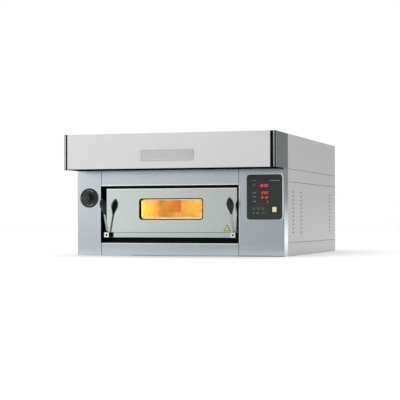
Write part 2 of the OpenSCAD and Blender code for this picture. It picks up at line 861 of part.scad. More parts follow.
module fan_rotor() {
    y0 = fan_y0 + 5.5;
    y1 = fan_y1 - 2;
    blades = 7;
    color("dimgray") difference() {
        union() {
            bar_y(motor_r, y0, y1, fan_x, fan_z);
            for (i = [0 : blades - 1]) translate([fan_x, (y0 + y1) / 2, fan_z])
                rotate([0, i * 360 / blades, 0]) rotate([38, 0, 0])
                    translate([motor_r - 1, -0.8, -11]) cube([fan_bore - motor_r - 0.5, 1.6, 22]);
        }
        bar_y(2 + running_gap, y0 - 1, fan_y0 + 20.5, fan_x, fan_z);
    }
}

module cable_gland() {
    color("dimgray") difference() {
        union() {
            bar_y(gland_r + 3.7, yb - 14, yb + 10, gland_x, gland_z);
            translate([gland_x, yb, gland_z]) rotate([-90, 0, 0]) cylinder(r = gland_r + 7, h = 6, $fn = 6);
            bar_y(gland_r + 4, yb + 5, yb + 24, gland_x, gland_z);
            translate([gland_x, yb - 8, gland_z]) rotate([-90, 0, 0])
                cylinder(r = gland_r + 7, h = 8 - sheet, $fn = 6);
        }
        bar_y(gland_r, yb - 15, yb + 25, gland_x, gland_z);
    }
}

// ---- door ----

bush_r = hinge_pin_r + 1.5;
rod_grip = 40;   // length of rod inside a grip

module hinge_bushes() {
    wall_x = open_x0 + 0.5 + surround_t;
    half = open_cx - wall_x;
    color("sandybrown") for (s = [-1, 1]) translate([open_cx, hinge_y, hinge_z]) rotate([0, s * 90, 0])
        difference() {
            union() {
                translate([0, 0, half - 3]) cylinder(r = bush_r + 1.5, h = 3);
                translate([0, 0, half - 3]) cylinder(r = bush_r, h = 15);
            }
            translate([0, 0, half - 4]) cylinder(r = hinge_pin_r + running_gap, h = 17);
        }
}

module door_seal() {
    w = 11;
    x0 = room_x0 + mouth_lip;
    x1 = room_x1 - mouth_lip;
    color("dimgray") difference() {
        round_plate(x0 - w, x1 + w, hearth_z - w, room_z1 + w, mouth_y - seal_t, mouth_y, w - 2);
        block(x0 - 1, x1 + 1, mouth_y - seal_t - 1, mouth_y + 1, hearth_z - 1, room_z1 + 1);
    }
}

// Window-shaped plug, each side moved out by grow
module window_plug(y0, y1, grow) {
    round_plate(window_x0 - grow, window_x1 + grow, window_z0 - grow, window_z1 + grow,
        y0, y1, window_r + grow);
}

module door_skin() {
    z0 = door_z0 + door_rail_h;
    t = sheet;
    color("lightgray") difference() {
        round_plate(door_x0, door_x1, z0, door_z1, door_y0, door_y0 + skin_d, 1);
        block(door_x0 + t, door_x1 - t, door_y0 + t, door_y1, z0 - 1, door_z1 - t);
        window_plug(door_y0 - 1, door_y0 + t + 1, 0);
    }
}

module door_rail() {
    t = sheet * 2;
    color("lightgray") difference() {
        block(door_x0, door_x1, door_y0, door_y0 + skin_d, door_z0, rail_z1);
        block(door_x0 + t, door_x1 - t, door_y0 + t, door_y1, door_z0 + t, rail_z1 + 1);
        for (x = block_xs) bar_y(3 + fit_gap, door_y0 - 1, door_y0 + t + 1, x, hinge_z);
    }
}

module door_liner() {
    t = sheet;
    y0 = door_y1 - liner_d;
    color("silver") difference() {
        block(door_x0, door_x1, y0, door_y1, door_z0, door_z1);
        block(door_x0 + t, door_x1 - t, y0 - 1, door_y1 - t, door_z0 + t, door_z1 - t);
        window_plug(door_y1 - t - 1, door_y1 + 1, 0);
    }
}

module window_trim() {
    color("black") difference() {
        window_plug(door_y0 + sheet, door_y1 - sheet, trim_t);
        window_plug(door_y0, door_y1, 0);
    }
}

module window_glass() {
    inner_y = door_y1 - sheet - pane_t - 1;
    color("lightyellow") for (y = [inner_y - pane_t - 4, inner_y])
        window_plug(y, y + pane_t, -0.2);
}

module door_insulation() {
    g = 0.5;
    t = sheet;
    color("khaki") difference() {
        block(door_x0 + t + g, door_x1 - t - g, door_y0 + t + g, door_y1 - t - g,
            rail_z1 + 2 * g + seam, door_z1 - t - g);
        window_plug(door_y0, door_y1, trim_t + g);
    }
}

// Square blocks on the door's lower corners; their pins turn in the bushes
module hinge_blocks() {
    half = hinge_block / 2;
    y1 = hinge_y + half;
    color("white") for (s = [-1, 1]) {
        x = open_cx + s * (door_x1 - open_cx - half);
        pin_x = [x, x + s * (half + door_side_gap + 8)];
        difference() {
            union() {
                block(x - half, x + half, hinge_y - half, y1, hinge_z - half, hinge_z + half);
                bar_y(8, y1 - 1, door_y0, x, hinge_z);
                bar_x(hinge_pin_r, min(pin_x), max(pin_x), hinge_y, hinge_z);
            }
            bar_y(5.2, hinge_y - half - 1, hinge_y - half + 6, x, hinge_z);
            bar_y(3 + fit_gap, hinge_y - half, door_y0 + 1, x, hinge_z);
            rod_solid(x, rod_r + 0.1, -9, 20);
        }
    }
}

// Places its children on a handle: the origin on top of the hinge block, +Z along the rod
module on_handle(x) {
    translate([x, hinge_y + 2.5, hinge_z + hinge_block / 2]) rotate([rod_lean, 0, 0]) children();
}

// Stretch of a handle's rod, measured along it from the top of its hinge block
module rod_solid(x, r, from, to) {
    on_handle(x) translate([0, 0, from]) cylinder(r = r, h = to - from);
}

module hinge_screws() {
    y0 = hinge_y - hinge_block / 2;
    color("black") for (x = block_xs) difference() {
        union() {
            bar_y(4.9, y0 + 1, y0 + 6, x, hinge_z);
            bar_y(3, y0 + 5, door_y0 + sheet * 2 + 4, x, hinge_z);
        }
        translate([x, y0, hinge_z]) rotate([-90, 0, 0]) cylinder(r = 2.6, h = 4, $fn = 6);
    }
}

module handle_rods() {
    color("silver") for (x = block_xs) rod_solid(x, rod_r, -8.5, handle_len - grip_len + rod_grip);
}

// Half of a pointed oval, to the right of its long axis, whose sides are two arcs
module half_leaf(width) {
    r = (grip_len * grip_len + width * width) / (4 * width);
    intersection() {
        translate([width / 2 - r, 0]) circle(r, $fn = 128);
        translate([0, -grip_len / 2]) square([width, grip_len]);
    }
}

// Flattened leaf shape, round the upper end of the rod
module handle_grips() {
    color("black") for (x = block_xs) difference() {
        on_handle(x) translate([0, 0, handle_len - grip_len / 2]) intersection() {
            rotate_extrude() half_leaf(grip_w);
            rotate([90, 0, 90]) linear_extrude(grip_w + 2, center = true) union() {
                half_leaf(grip_t);
                mirror([1, 0, 0]) half_leaf(grip_t);
            }
        }
        rod_solid(x, rod_r + 0.1, 0, handle_len - grip_len + rod_grip + 0.5);
    }
}

base_pan();
chassis_frame();
left_front_panel();
right_front_panel();
top_front_rail();
bottom_front_rail();
door_surround();
left_side_panel();
right_side_panel();
back_panel();
top_cover();
hood_fascia();
hood_corner_left();
hood_corner_right();
hood_cheek_left();
hood_cheek_right();
hood_side_left();
hood_side_right();
hood_top();
name_plate();
flue_collar();
chamber_liner();
hearth_stones();
top_elements();
bottom_elements();
insulation_blankets();
chamber_lamp();
lamp_lens();
temperature_probes();
vent_duct();
vent_dial();
vent_knob();
damper_spindle();
control_fascia();
displays();
control_board();
switch_housing();
switch_button();
menu_key();
up_key();
down_key();
component_plate();
contactors();
terminal_block();
fan_housing();
fan_rotor();
cable_gland();
case_screws();
hinge_bushes();
door_seal();
door_skin();
door_liner();
door_insulation();
door_rail();
window_glass();
window_trim();
hinge_blocks();
hinge_screws();
handle_rods();
handle_grips();
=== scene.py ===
"""Finishes an electric deck oven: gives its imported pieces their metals, paints, stone, glass and
plastics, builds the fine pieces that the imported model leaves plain, and sets up a plain studio."""

import math

import bmesh
import bpy
import numpy as np
from mathutils import Matrix, Vector, noise


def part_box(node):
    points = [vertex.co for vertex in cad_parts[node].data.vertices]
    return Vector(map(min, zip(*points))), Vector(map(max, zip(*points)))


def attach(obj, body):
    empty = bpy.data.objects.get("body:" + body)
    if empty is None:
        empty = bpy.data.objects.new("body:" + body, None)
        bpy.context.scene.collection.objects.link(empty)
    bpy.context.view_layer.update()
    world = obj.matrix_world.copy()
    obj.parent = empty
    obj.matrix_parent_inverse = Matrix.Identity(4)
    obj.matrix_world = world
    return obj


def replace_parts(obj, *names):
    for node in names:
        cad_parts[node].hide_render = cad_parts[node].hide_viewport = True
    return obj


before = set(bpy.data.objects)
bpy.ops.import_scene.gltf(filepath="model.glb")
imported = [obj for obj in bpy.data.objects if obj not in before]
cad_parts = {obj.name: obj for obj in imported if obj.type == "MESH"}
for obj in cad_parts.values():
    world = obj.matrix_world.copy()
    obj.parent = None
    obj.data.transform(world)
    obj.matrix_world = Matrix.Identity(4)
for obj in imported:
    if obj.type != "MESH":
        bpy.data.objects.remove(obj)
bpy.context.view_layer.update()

bl_info = {
    "name": "Deck Oven Finish",
    "version": (1, 0, 0),
    "blender": (4, 5, 0),
    "location": "3D Viewport > Sidebar > Deck Oven",
    "description": "Materials and fine pieces for a one-deck electric oven with a steam hood",
    "category": "Object",
}

MM = 0.001


def linear(hex_code):
    """Turns an sRGB hex colour into the linear RGBA that sockets and colour properties hold."""
    channels = [int(hex_code[i : i + 2], 16) / 255 for i in (1, 3, 5)]
    return [c / 12.92 if c <= 0.04045 else ((c + 0.055) / 1.055) ** 2.4 for c in channels] + [1.0]


def colour(name, description, hex_code):
    """A colour property with a hex default."""
    return bpy.props.FloatVectorProperty(
        name=name, description=description, default=linear(hex_code), size=4, min=0, max=1, subtype="COLOR"
    )


def length(name, description, millimetres):
    """A length property whose default is given in millimetres."""
    return bpy.props.FloatProperty(
        name=name,
        description=description,
        default=millimetres * MM,
        min=0.01 * MM,
        soft_max=1.0,
        precision=5,
        subtype="DISTANCE",
        unit="LENGTH",
    )


class DeckOvenColours(bpy.types.PropertyGroup):
    """The colours a user would change."""

    front_steel: colour("Front steel", "Satin stainless steel of the front panels", "#c8d0d6")
    door_steel: colour("Door steel", "Polished stainless steel of the door", "#cad2d0")
    hood_steel: colour("Hood steel", "Bright satin stainless steel of the hood", "#d8d8d8")
    paint: colour("Casing paint", "Powder coat of the sides, the back and the top", "#bdbdbc")
    enamel: colour("Black enamel", "Stove enamel round the door opening", "#091112")
    grip: colour("Handle grips", "Moulded phenolic of the grips and the vent knob", "#101816")
    dial: colour("Vent dial", "Printed face of the vent dial", "#212b28")
    fascia: colour("Control film", "Polyester film of the control panel", "#27302d")
    print_ink: colour("Legend ink", "Faint printing on the control panel", "#87938f")
    dial_ink: colour("Dial ink", "Printing on the vent dial", "#c5ccc9")
    digits: colour("Display digits", "Lit segments of the displays", "#ff4a55")
    button: colour("Switch button", "Lit button of the main switch", "#f3e9a6")
    label: colour("Safety label", "Yellow of the triangular safety label", "#e0d64e")
    lamp: colour("Chamber lamp", "Light of the lamp in the baking chamber", "#ffd26a")
    stone: colour("Hearth stone", "Fired slabs of the hearth", "#9a8262")
    wool: colour("Mineral wool", "Insulation blankets", "#c9b66a")


class DeckOvenSizes(bpy.types.PropertyGroup):
    """The sizes a user would change."""

    brush_line: length("Brush line width", "Width of a brushed line, drawn coarse enough to show", 1.6)
    brush_run: length("Brush line length", "Length of a brushed line", 240)
    paint_grain: length("Paint grain", "Size of the powder coat's orange peel", 1.8)
    edge_round: length("Edge rounding", "Rounding that catches light on folded and cut edges", 0.9)
    print_t: length("Print thickness", "How far printing stands on its surface", 0.15)
    digit_stroke: length("Digit stroke", "Width of one lit segment", 1.35)
    grip_neck: length("Grip neck", "Radius of a grip where its rod goes in", 7.0)
    knob_flute: length("Knob flute depth", "Depth of the finger flutes round the vent knob", 1.1)
    braid_pitch: length("Braid pitch", "Length of one twist of the door seal's braid", 14)
    joint_w: length("Joint strip width", "Width of the rubber strips between the front panels", 2.0)
    bead: length("Panel bead", "Radius of the bright bead round the control panel", 2.2)
    label_side: length("Label side", "Side of the triangular safety label", 40)


def colours():
    """The colours as they are set in the sidebar."""
    return bpy.context.scene.deck_oven_colours


def sizes():
    """The sizes as they are set in the sidebar, in metres."""
    return bpy.context.scene.deck_oven_sizes


# ---- materials ----


def add(tree, kind, inputs=None, **settings):
    """Adds one node with its settings; inputs maps a socket to a value or to another node's output."""
    node = tree.nodes.new(kind)
    for key, value in settings.items():
        setattr(node, key, value)
    for socket, value in (inputs or {}).items():
        if isinstance(value, bpy.types.NodeSocket):
            tree.links.new(value, node.inputs[socket])
        else:
            node.inputs[socket].default_value = value
    return node


def material(name, base, metallic=0.0, roughness=0.5, **inputs):
    """A new Principled material, its tree and its shader. Keywords name sockets, with _ for a space."""
    made = bpy.data.materials.new(name)
    made.use_nodes = True
    made.diffuse_color = base
    tree = made.node_tree
    tree.nodes.clear()
    sockets = {"Base Color": base, "Metallic": metallic, "Roughness": roughness}
    sockets.update({key.replace("_", " "): value for key, value in inputs.items()})
    shader = add(tree, "ShaderNodeBsdfPrincipled", sockets)
    add(tree, "ShaderNodeOutputMaterial", {"Surface": shader.outputs[0]})
    return made, tree, shader


def pattern(tree, size, stretch=(1, 1, 1), detail=3.0, rough=0.5, seed=0.0):
    """Noise whose blobs are size metres across, drawn out along each axis by stretch."""
    place = add(tree, "ShaderNodeTexCoord").outputs["Object"]
    scale = [1 / (size * s) for s in stretch]
    shift = (seed, seed * 0.7, seed * 1.3)
    moved = add(tree, "ShaderNodeMapping", {"Vector": place, "Scale": scale, "Location": shift}).outputs[0]
    inputs = {"Vector": moved, "Scale": 1.0, "Detail": detail, "Roughness": rough}
    return add(tree, "ShaderNodeTexNoise", inputs).outputs["Fac"]


def along(tree, axis):
    """The place on one axis of the row frame."""
    place = add(tree, "ShaderNodeTexCoord").outputs["Object"]
    return add(tree, "ShaderNodeSeparateXYZ", {0: place}).outputs[axis]


def band_mask(tree, axis, place, half):
    """One inside a band, half metres either side of a place on an axis, and zero outside it."""
    inputs = {0: along(tree, axis), 1: place, 2: half}
    return add(tree, "ShaderNodeMath", inputs, operation="COMPARE").outputs[0]


def slope(tree, axis, near, far):
    """A value that runs evenly between two (place, value) pairs on an axis, and holds still beyond them."""
    inputs = {0: along(tree, axis), 1: near[0], 2: far[0], 3: near[1], 4: far[1]}
    return add(tree, "ShaderNodeMapRange", inputs).outputs[0]


def joined(tree, operation, *masks):
    """Joins masks into one: MULTIPLY keeps what all of them hold, and MAXIMUM what any holds."""
    made = masks[0]
    for mask in masks[1:]:
        made = add(tree, "ShaderNodeMath", {0: made, 1: mask}, operation=operation).outputs[0]
    return made


def tint(tree, shader, mask, first, second, low=0.3, high=0.7, most=1.0):
    """Colours the surface from first at the mask's low to second at its high, of which it shows most."""
    factor = add(tree, "ShaderNodeMapRange", {0: mask, 1: low, 2: high, 3: 0.0, 4: most}).outputs[0]
    mixed = add(tree, "ShaderNodeMix", {0: factor, 6: first, 7: second}, data_type="RGBA").outputs[2]
    tree.links.new(mixed, shader.inputs["Base Color"])
    return mixed


def gloss(tree, shader, mask, start, end, low=0.3, high=0.7):
    """Varies the roughness from start at the mask's low to end at its high."""
    made = add(tree, "ShaderNodeMapRange", {0: mask, 1: low, 2: high, 3: start, 4: end})
    tree.links.new(made.outputs[0], shader.inputs["Roughness"])


def relief(tree, shader, height, depth, rounding=None):
    """Gives the surface a bump depth metres deep, over edges rounded by rounding metres."""
    inputs = {"Height": height, "Distance": depth, "Strength": 1.0}
    if rounding:
        inputs["Normal"] = add(tree, "ShaderNodeBevel", {"Radius": rounding}, samples=4).outputs[0]
    bump = add(tree, "ShaderNodeBump", inputs)
    tree.links.new(bump.outputs[0], shader.inputs["Normal"])


def shade(rgba, factor):
    """The same colour, darker or lighter."""
    return [min(1.0, c * factor) for c in rgba[:3]] + [1.0]


def grained(name, base, roughness, grain, tones=None, vary=None, bump=None, metallic=0.0, **inputs):
    """A material whose tones, roughness and bump all follow one grain. The grain is what pattern takes,
    vary is the roughness at its low and its high, and bump is what relief takes."""
    made, tree, shader = material(name, base, metallic, roughness, **inputs)
    skin = pattern(tree, **grain)
    if tones:
        tint(tree, shader, skin, *tones)
    if vary:
        gloss(tree, shader, skin, *vary)
    if bump:
        relief(tree, shader, skin, *bump)
    return made


def brushed(name, base, roughness, vary, depth, lie=(1, 1, 0), metallic=1.0, dark=None):
    """Rolled metal that a belt has brushed: long lines along the axes marked in lie, and soft clouds
    where hands and cloths have changed the finish. The mask that dark makes shows where the colour is
    darkened as painted shade."""
    made, tree, shader = material(name, base, metallic, roughness)
    run = sizes().brush_run / sizes().brush_line
    lines = pattern(tree, sizes().brush_line, [run if a else 1 for a in lie], 2.0, 0.6)
    clouds = pattern(tree, 160 * MM, (1.6, 1.6, 1), 3.0, 0.55, 3.1)
    both = joined(tree, "ADD", lines, clouds)
    gloss(tree, shader, both, roughness - vary, roughness + vary, 0.7, 1.3)
    plain = tint(tree, shader, both, shade(base, 0.965), base, 0.7, 1.3)
    if dark:
        # painted shade: the masked parts darken to grey-green
        tint(tree, shader, dark(tree), plain, linear("#4d5658"), 0, 1)
    relief(tree, shader, lines, depth, sizes().edge_round)
    return made


def satin_stainless():
    # AISI 304 sheet, belt-brushed lengthwise: soft grey mirror with horizontal lines, faintly blue
    return brushed("Satin brushed stainless", list(colours().front_steel), 0.22, 0.03, 0.004 * MM)


def polished_stainless():
    # AISI 304 sheet with a bright annealed finish: shows the handles' reflections, slightly green
    return brushed("Bright annealed stainless", list(colours().door_steel), 0.09, 0.03, 0.002 * MM)


def hood_stainless():
    # AISI 304 sheet, fine-blasted and clear-lacquered: pale, even and soft, hardly any reflections
    base = list(colours().hood_steel)
    return brushed("Blasted lacquered stainless", base, 0.42, 0.03, 0.004 * MM, metallic=0.45)


def shaded_cheek_stainless():
    # The same sheet left bare and brushed, with its colour darkened as painted shade on the hood's sides
    return brushed("Brushed stainless darkened as painted shade", linear("#9da6a2"), 0.34, 0.03, 0.004 * MM)


def groove_shade_mask(tree):
    """Painted shade for the hood's corner profiles: the side groove and the nose, where the profile is
    darkened.
    """
    low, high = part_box("hood_corner_right")
    nose = band_mask(tree, 1, low.y, 13 * MM)
    corners_x = (band_mask(tree, 0, side * high.x, 5 * MM) for side in (-1, 1))
    noses = [joined(tree, "MULTIPLY", corner, nose) for corner in corners_x]
    return joined(tree, "MAXIMUM", band_mask(tree, 1, low.y + 36 * MM, 6 * MM), *noses)


def extruded_aluminium():
    # EN AW-6060 profile, drawn through a die and satin anodised: lines run up it, and its grooves and nose
    # are darkened as painted shade
    base = linear("#dfe6e8")
    return brushed("Satin anodised aluminium", base, 0.26, 0.05, 0.01 * MM, (0, 0, 1), dark=groove_shade_mask)


def turned_stainless():
    # Bar stock turned on a lathe: bright, with fine rings that read as a soft sheen
    return brushed("Turned stainless", linear("#c6c8ca"), 0.24, 0.05, 0.006 * MM, (0, 1, 0))


def highlight_bead():
    # Half-round stainless wire, near white and hardly metallic as a painted highlight: a thin pale line round
    # the dark panel
    base = linear("#f6f8f8")
    return brushed("Pale wire bead with painted highlight", base, 0.2, 0.03, 0.004 * MM, (1, 0, 1), metallic=0.05)


def edge_highlight_steel():
    # Front steel made near white along its edges as a painted highlight: the brightest line of the front
    return brushed("Steel edge with painted highlight", linear("#fbfcfd"), 0.2, 0.02, 0.002 * MM)


def plate_metal():
    # Pressed aluminium plate, brushed lengthwise: a darker grey than the hood it sits on
    return brushed("Brushed aluminium plate", linear("#d3d6d5"), 0.33, 0.04, 0.006 * MM, (1, 0, 0))


def painted_seam_shade(tree):
    """Painted shade that darkens the joints between the casing's sheets and the casing's foot."""
    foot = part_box("base_pan")[1].z
    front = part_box("right_side_panel")[0].y
    levels = [0.6 * MM] + [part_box(n)[1].z + 0.4 * MM for n in ("base_pan", "right_side_panel", "top_cover")]
    seams = [band_mask(tree, 2, level, 1.3 * MM) for level in levels]
    beside_front = band_mask(tree, 1, front - 0.4 * MM, 2.4 * MM)
    upright = joined(tree, "MULTIPLY", beside_front, band_mask(tree, 2, 0, foot))
    return joined(tree, "MULTIPLY", joined(tree, "MAXIMUM", *seams, upright), 0.8)


def powder_coat():
    # Polyester powder stoved on steel: even light grey with a fine orange-peel skin, with painted shade
    # darkening its joints
    base = list(colours().paint)
    made, tree, shader = material("Light grey powder coat", base, 0.0, 0.42, IOR=1.5, Specular_IOR_Level=0.35)
    peel = pattern(tree, sizes().paint_grain, detail=2.0)
    clouds = pattern(tree, 350 * MM, detail=2.0, seed=5.0)
    clean = tint(tree, shader, clouds, shade(base, 0.965), base)
    # painted shade: the joints darken towards 0.3 of the paint's colour
    tint(tree, shader, painted_seam_shade(tree), clean, shade(base, 0.3), 0, 1)
    gloss(tree, shader, peel, 0.36, 0.50)
    relief(tree, shader, peel, 0.05 * MM, sizes().edge_round)
    return made


def black_enamel(name, shine):
    # Vitreous enamel fired on steel: near black, with a slightly wavy skin
    base = list(colours().enamel)
    made, tree, shader = material(name, base, 0.0, 0.3, IOR=1.5, Specular_IOR_Level=shine)
    waves = pattern(tree, 9 * MM, detail=1.5)
    dust = pattern(tree, 2.2 * MM, detail=2.0, seed=2.0)
    tint(tree, shader, dust, base, linear("#141d1e"), 0.55, 0.8)
    gloss(tree, shader, dust, 0.18, 0.34)
    relief(tree, shader, waves, 0.03 * MM, sizes().edge_round)
    return made


def galvanised_steel():
    # Hot-dip galvanised sheet: pale grey crystals about 10 mm across, each at its own brightness
    made, tree, shader = material("Galvanised sheet", linear("#aeb4b6"), 1.0, 0.42)
    place = add(tree, "ShaderNodeTexCoord").outputs["Object"]
    cells = add(tree, "ShaderNodeTexVoronoi", {"Vector": place, "Scale": 1 / (10 * MM)})
    grey = add(tree, "ShaderNodeSeparateColor", {0: cells.outputs["Color"]}).outputs[0]
    tint(tree, shader, grey, linear("#8e9597"), linear("#c4c9ca"), 0, 1)
    gloss(tree, shader, grey, 0.32, 0.52, 0, 1)
    relief(tree, shader, cells.outputs["Distance"], 0.02 * MM, sizes().edge_round)
    return made


def aluminised_steel():
    # Aluminised sheet that has been baked many times: matt silver with straw and brown heat tints,
    # and the back wall darkened to orange brown beside its lap joint as painted shade, most of all along the
    # joint
    base = linear("#cfc6b2")
    made, tree, shader = material("Heat-tinted aluminised steel with painted shade", base, 0.85, 0.4)
    heat = pattern(tree, 140 * MM, (1, 1.4, 1), 4.0, 0.6)
    specks = pattern(tree, 5 * MM, detail=3.0, seed=4.0)
    straw = tint(tree, shader, heat, base, linear("#a98c62"), 0.42, 0.68)
    low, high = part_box("chamber_liner")
    joint = -278 * MM
    back = band_mask(tree, 1, high.y, 3 * MM)
    beside = band_mask(tree, 0, (low.x + joint) / 2, (joint - low.x) / 2)
    # painted shade: a darker orange band on the back wall, darkest at the joint
    painted_shade_band = joined(tree, "MULTIPLY", back, beside, slope(tree, 0, (low.x, 0.0), (joint, 0.8)))
    warm = tint(tree, shader, painted_shade_band, straw, linear("#bc6a2e"), 0, 1)
    tint(tree, shader, specks, warm, linear("#6e5334"), 0.64, 0.8)
    gloss(tree, shader, specks, 0.34, 0.5)
    relief(tree, shader, specks, 0.04 * MM, sizes().edge_round)
    return made


def hearth_stone():
    # Pressed and fired cordierite: sandy, porous, browned by flour in patches
    base = list(colours().stone)
    made, tree, shader = material("Fired cordierite", base, 0.0, 0.86, IOR=1.5)
    grains = pattern(tree, 2.4 * MM, detail=4.0, rough=0.65)
    burns = pattern(tree, 110 * MM, detail=4.0, rough=0.6, seed=7.0)
    sandy = tint(tree, shader, grains, shade(base, 0.72), shade(base, 1.12))
    tint(tree, shader, burns, sandy, linear("#5b4026"), 0.52, 0.75, 0.7)
    relief(tree, shader, grains, 0.35 * MM, 1.5 * MM)
    return made


def heater_sheath():
    # Nickel alloy tube, oxidised by heat: dark brown-black with a dry, slightly scaly skin
    tones = linear("#2a2421"), linear("#5c4a3c")
    scales = {"size": 4 * MM, "stretch": (1, 4, 1)}
    return grained("Oxidised alloy sheath", linear("#3a322c"), 0.55, scales, tones, None, (0.08 * MM,), 0.55)


def mineral_wool():
    # Spun rock fibre pressed into slabs: dull yellow, matt, with fibres lying every way
    base = list(colours().wool)
    made, tree, shader = material("Rock wool", base, 0.0, 0.97, Sheen_Weight=0.25, Sheen_Roughness=0.6)
    fibres = pattern(tree, 2.5 * MM, (3, 3, 0.6), 5.0, 0.7)
    tufts = pattern(tree, 22 * MM, detail=3.0, seed=1.0)
    both = joined(tree, "ADD", fibres, tufts)
    tint(tree, shader, both, shade(base, 0.6), shade(base, 1.1), 0.7, 1.3)
    relief(tree, shader, both, 1.2 * MM)
    return made


def fibreglass_rope():
    # Braided glass yarn with graphite: dark grey, matt, with a light thread on each crossing
    base = linear("#33363a")
    tones = linear("#1f2124"), linear("#5a5e63")
    threads = {"size": 1.4 * MM, "detail": 2.0}
    return grained("Graphited glass braid", base, 0.85, threads, tones, bump=(0.3 * MM,), Sheen_Weight=0.2)


def glazed_porcelain():
    # Slip-cast porcelain under a clear glaze: warm white, shiny, with slight pooling
    base = linear("#ece7da")
    pooling = {"size": 12 * MM, "detail": 1.0}
    bump = 0.06 * MM, sizes().edge_round
    return grained("Glazed porcelain", base, 0.14, pooling, (shade(base, 0.9), base), bump=bump, IOR=1.55)


def ceramic_glass():
    # Transparent glass ceramic, fire polished: clear with the faintest grease haze
    haze = {"size": 45 * MM, "stretch": (2, 2, 1)}
    clear = {"IOR": 1.2, "Transmission_Weight": 1.0}
    return grained("Clear glass ceramic", linear("#f4f6f0"), 0.0, haze, vary=(0.0, 0.05, 0.5, 0.8), **clear)


def bright_chrome():
    # Nickel and chromium plate on polished steel: a near-perfect mirror, hardly tinted
    smears = {"size": 14 * MM, "stretch": (1, 1, 2), "detail": 2.0}
    bump = 0.004 * MM, sizes().edge_round
    return grained("Bright chrome plate", linear("#b9bec0"), 0.06, smears, None, (0.04, 0.12), bump, 1.0)


def phenolic(name, factor):
    # Compression-moulded phenolic: deep green-black, satin, polished by hands on its high spots
    base = shade(list(colours().grip), factor)
    made, tree, shader = material(name, base, 0.0, 0.34, IOR=1.6, Specular_IOR_Level=0.3)
    skin = pattern(tree, 1.2 * MM, detail=2.0)
    flow = pattern(tree, 18 * MM, (1, 1, 3), 3.0, seed=2.0)
    tint(tree, shader, flow, shade(base, 0.7), shade(base, 1.35))
    gloss(tree, shader, flow, 0.24, 0.38)
    relief(tree, shader, skin, 0.02 * MM)
    return made


def printed_face(name, base, roughness):
    # Screen-printed polyester film or plate: even and dark, with a fine moulded texture
    made, tree, shader = material(name, base, 0.0, roughness, IOR=1.5)
    grain = pattern(tree, 0.8 * MM, detail=2.0)
    clouds = pattern(tree, 60 * MM, detail=2.0, seed=6.0)
    tint(tree, shader, clouds, shade(base, 0.88), shade(base, 1.06))
    gloss(tree, shader, grain, roughness - 0.06, roughness + 0.06)
    relief(tree, shader, grain, 0.02 * MM, 0.6 * MM)
    return made


def plastic(name, hex_code, roughness, grain=1.5):
    # Injection-moulded plastic with a spark-eroded skin: grain is its texture's size in millimetres
    base = linear(hex_code)
    skin = {"size": grain * MM, "detail": 2.0}
    tones = shade(base, 0.86), shade(base, 1.08)
    vary = roughness - 0.07, roughness + 0.07
    return grained(name, base, roughness, skin, tones, vary, (0.03 * MM, 0.5 * MM), IOR=1.5)


def ink(name, rgba):
    # Screen ink: matt, and slightly uneven where the mesh laid it down
    return grained(name, rgba, 0.6, {"size": 0.9 * MM, "detail": 2.0}, (shade(rgba, 0.82), rgba))


def glowing(name, rgba, strength):
    # Plastic and glass lit from behind, and strips of painted glow: brighter in soft patches, where the light
    # gets through best
    made, tree, shader = material(name, rgba, 0.0, 0.3, Emission_Color=rgba, Emission_Strength=strength)
    skin = tint(tree, shader, pattern(tree, 9 * MM, detail=1.0), shade(rgba, 0.85), rgba)
    tree.links.new(skin, shader.inputs["Emission Color"])
    return made


def solder_mask():
    # Glass-epoxy board under green lacquer: copper tracks show as paler lines
    made, tree, shader = material("Green solder mask", linear("#1d5a33"), 0.0, 0.3, IOR=1.5)
    place = add(tree, "ShaderNodeTexCoord").outputs["Object"]
    grid = {"Vector": place, "Scale": 1 / (16 * MM), "Mortar Size": 0.04, "Color1": (0, 0, 0, 1)}
    tracks = add(tree, "ShaderNodeTexBrick", grid, offset=0.37).outputs["Fac"]
    tint(tree, shader, tracks, linear("#17502c"), linear("#2f7d48"), 0, 1)
    relief(tree, shader, tracks, 0.03 * MM)
    return made


def black_rubber_and_shadow():
    # Extruded EPDM rubber, also used as black painted shadow: deep black and matt, faintly bloomed
    base = linear("#0a0b0c")
    tones = linear("#060707"), linear("#15181a")
    bloom, bump = {"size": 6 * MM}, (0.03 * MM,)
    return grained("Black EPDM rubber and painted shadow", base, 0.75, bloom, tones, bump=bump, Specular_IOR_Level=0.0)


def hinge_with_shaded_sides():
    # Steel block ground bright on the face towards the user, with its back and sides near black as painted
    # shade for the door to mirror
    made, tree, shader = material("Ground steel face with painted shade behind", linear("#e9ecef"), 0.75, 0.2)
    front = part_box("hinge_blocks")[0].y
    bright_face_mask = slope(tree, 1, (front + 0.8 * MM, 1), (front + 1.4 * MM, 0))
    grind = pattern(tree, 0.9 * MM, (12, 1, 1), 2.0)
    bright = tint(tree, shader, grind, linear("#eceff3"), linear("#fbfcfe"))
    # painted shade: all but the front face is near black
    tint(tree, shader, bright_face_mask, linear("#101213"), bright, 0, 1)
    gloss(tree, shader, bright_face_mask, 0.38, 0.2, 0, 1)
    relief(tree, shader, grind, 0.004 * MM, 0.5 * MM)
    return made


def sintered_bronze():
    # Pressed and sintered bronze with graphite: very dark brown with open pores
    tones = linear("#17130f"), linear("#3c3226")
    pores, bump = {"size": 0.7 * MM}, (0.03 * MM, 0.4 * MM)
    return grained("Graphited sintered bronze", linear("#2b241c"), 0.45, pores, tones, None, bump, 0.9)


def blackened_steel():
    # Alloy screws with a black oxide: dark, oily sheen
    oil = {"size": 3 * MM, "detail": 2.0}
    bump = 0.01 * MM, 0.3 * MM
    dull = {"Specular_IOR_Level": 0.1}
    return grained("Black oxide steel", linear("#0d0e0f"), 0.42, oil, None, (0.28, 0.44), bump, 0.5, **dull)


# ---- meshes ----


def paint(finish, *nodes):
    """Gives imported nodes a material."""
    for name in nodes:
        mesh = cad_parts[name].data
        mesh.materials.clear()
        mesh.materials.append(finish)


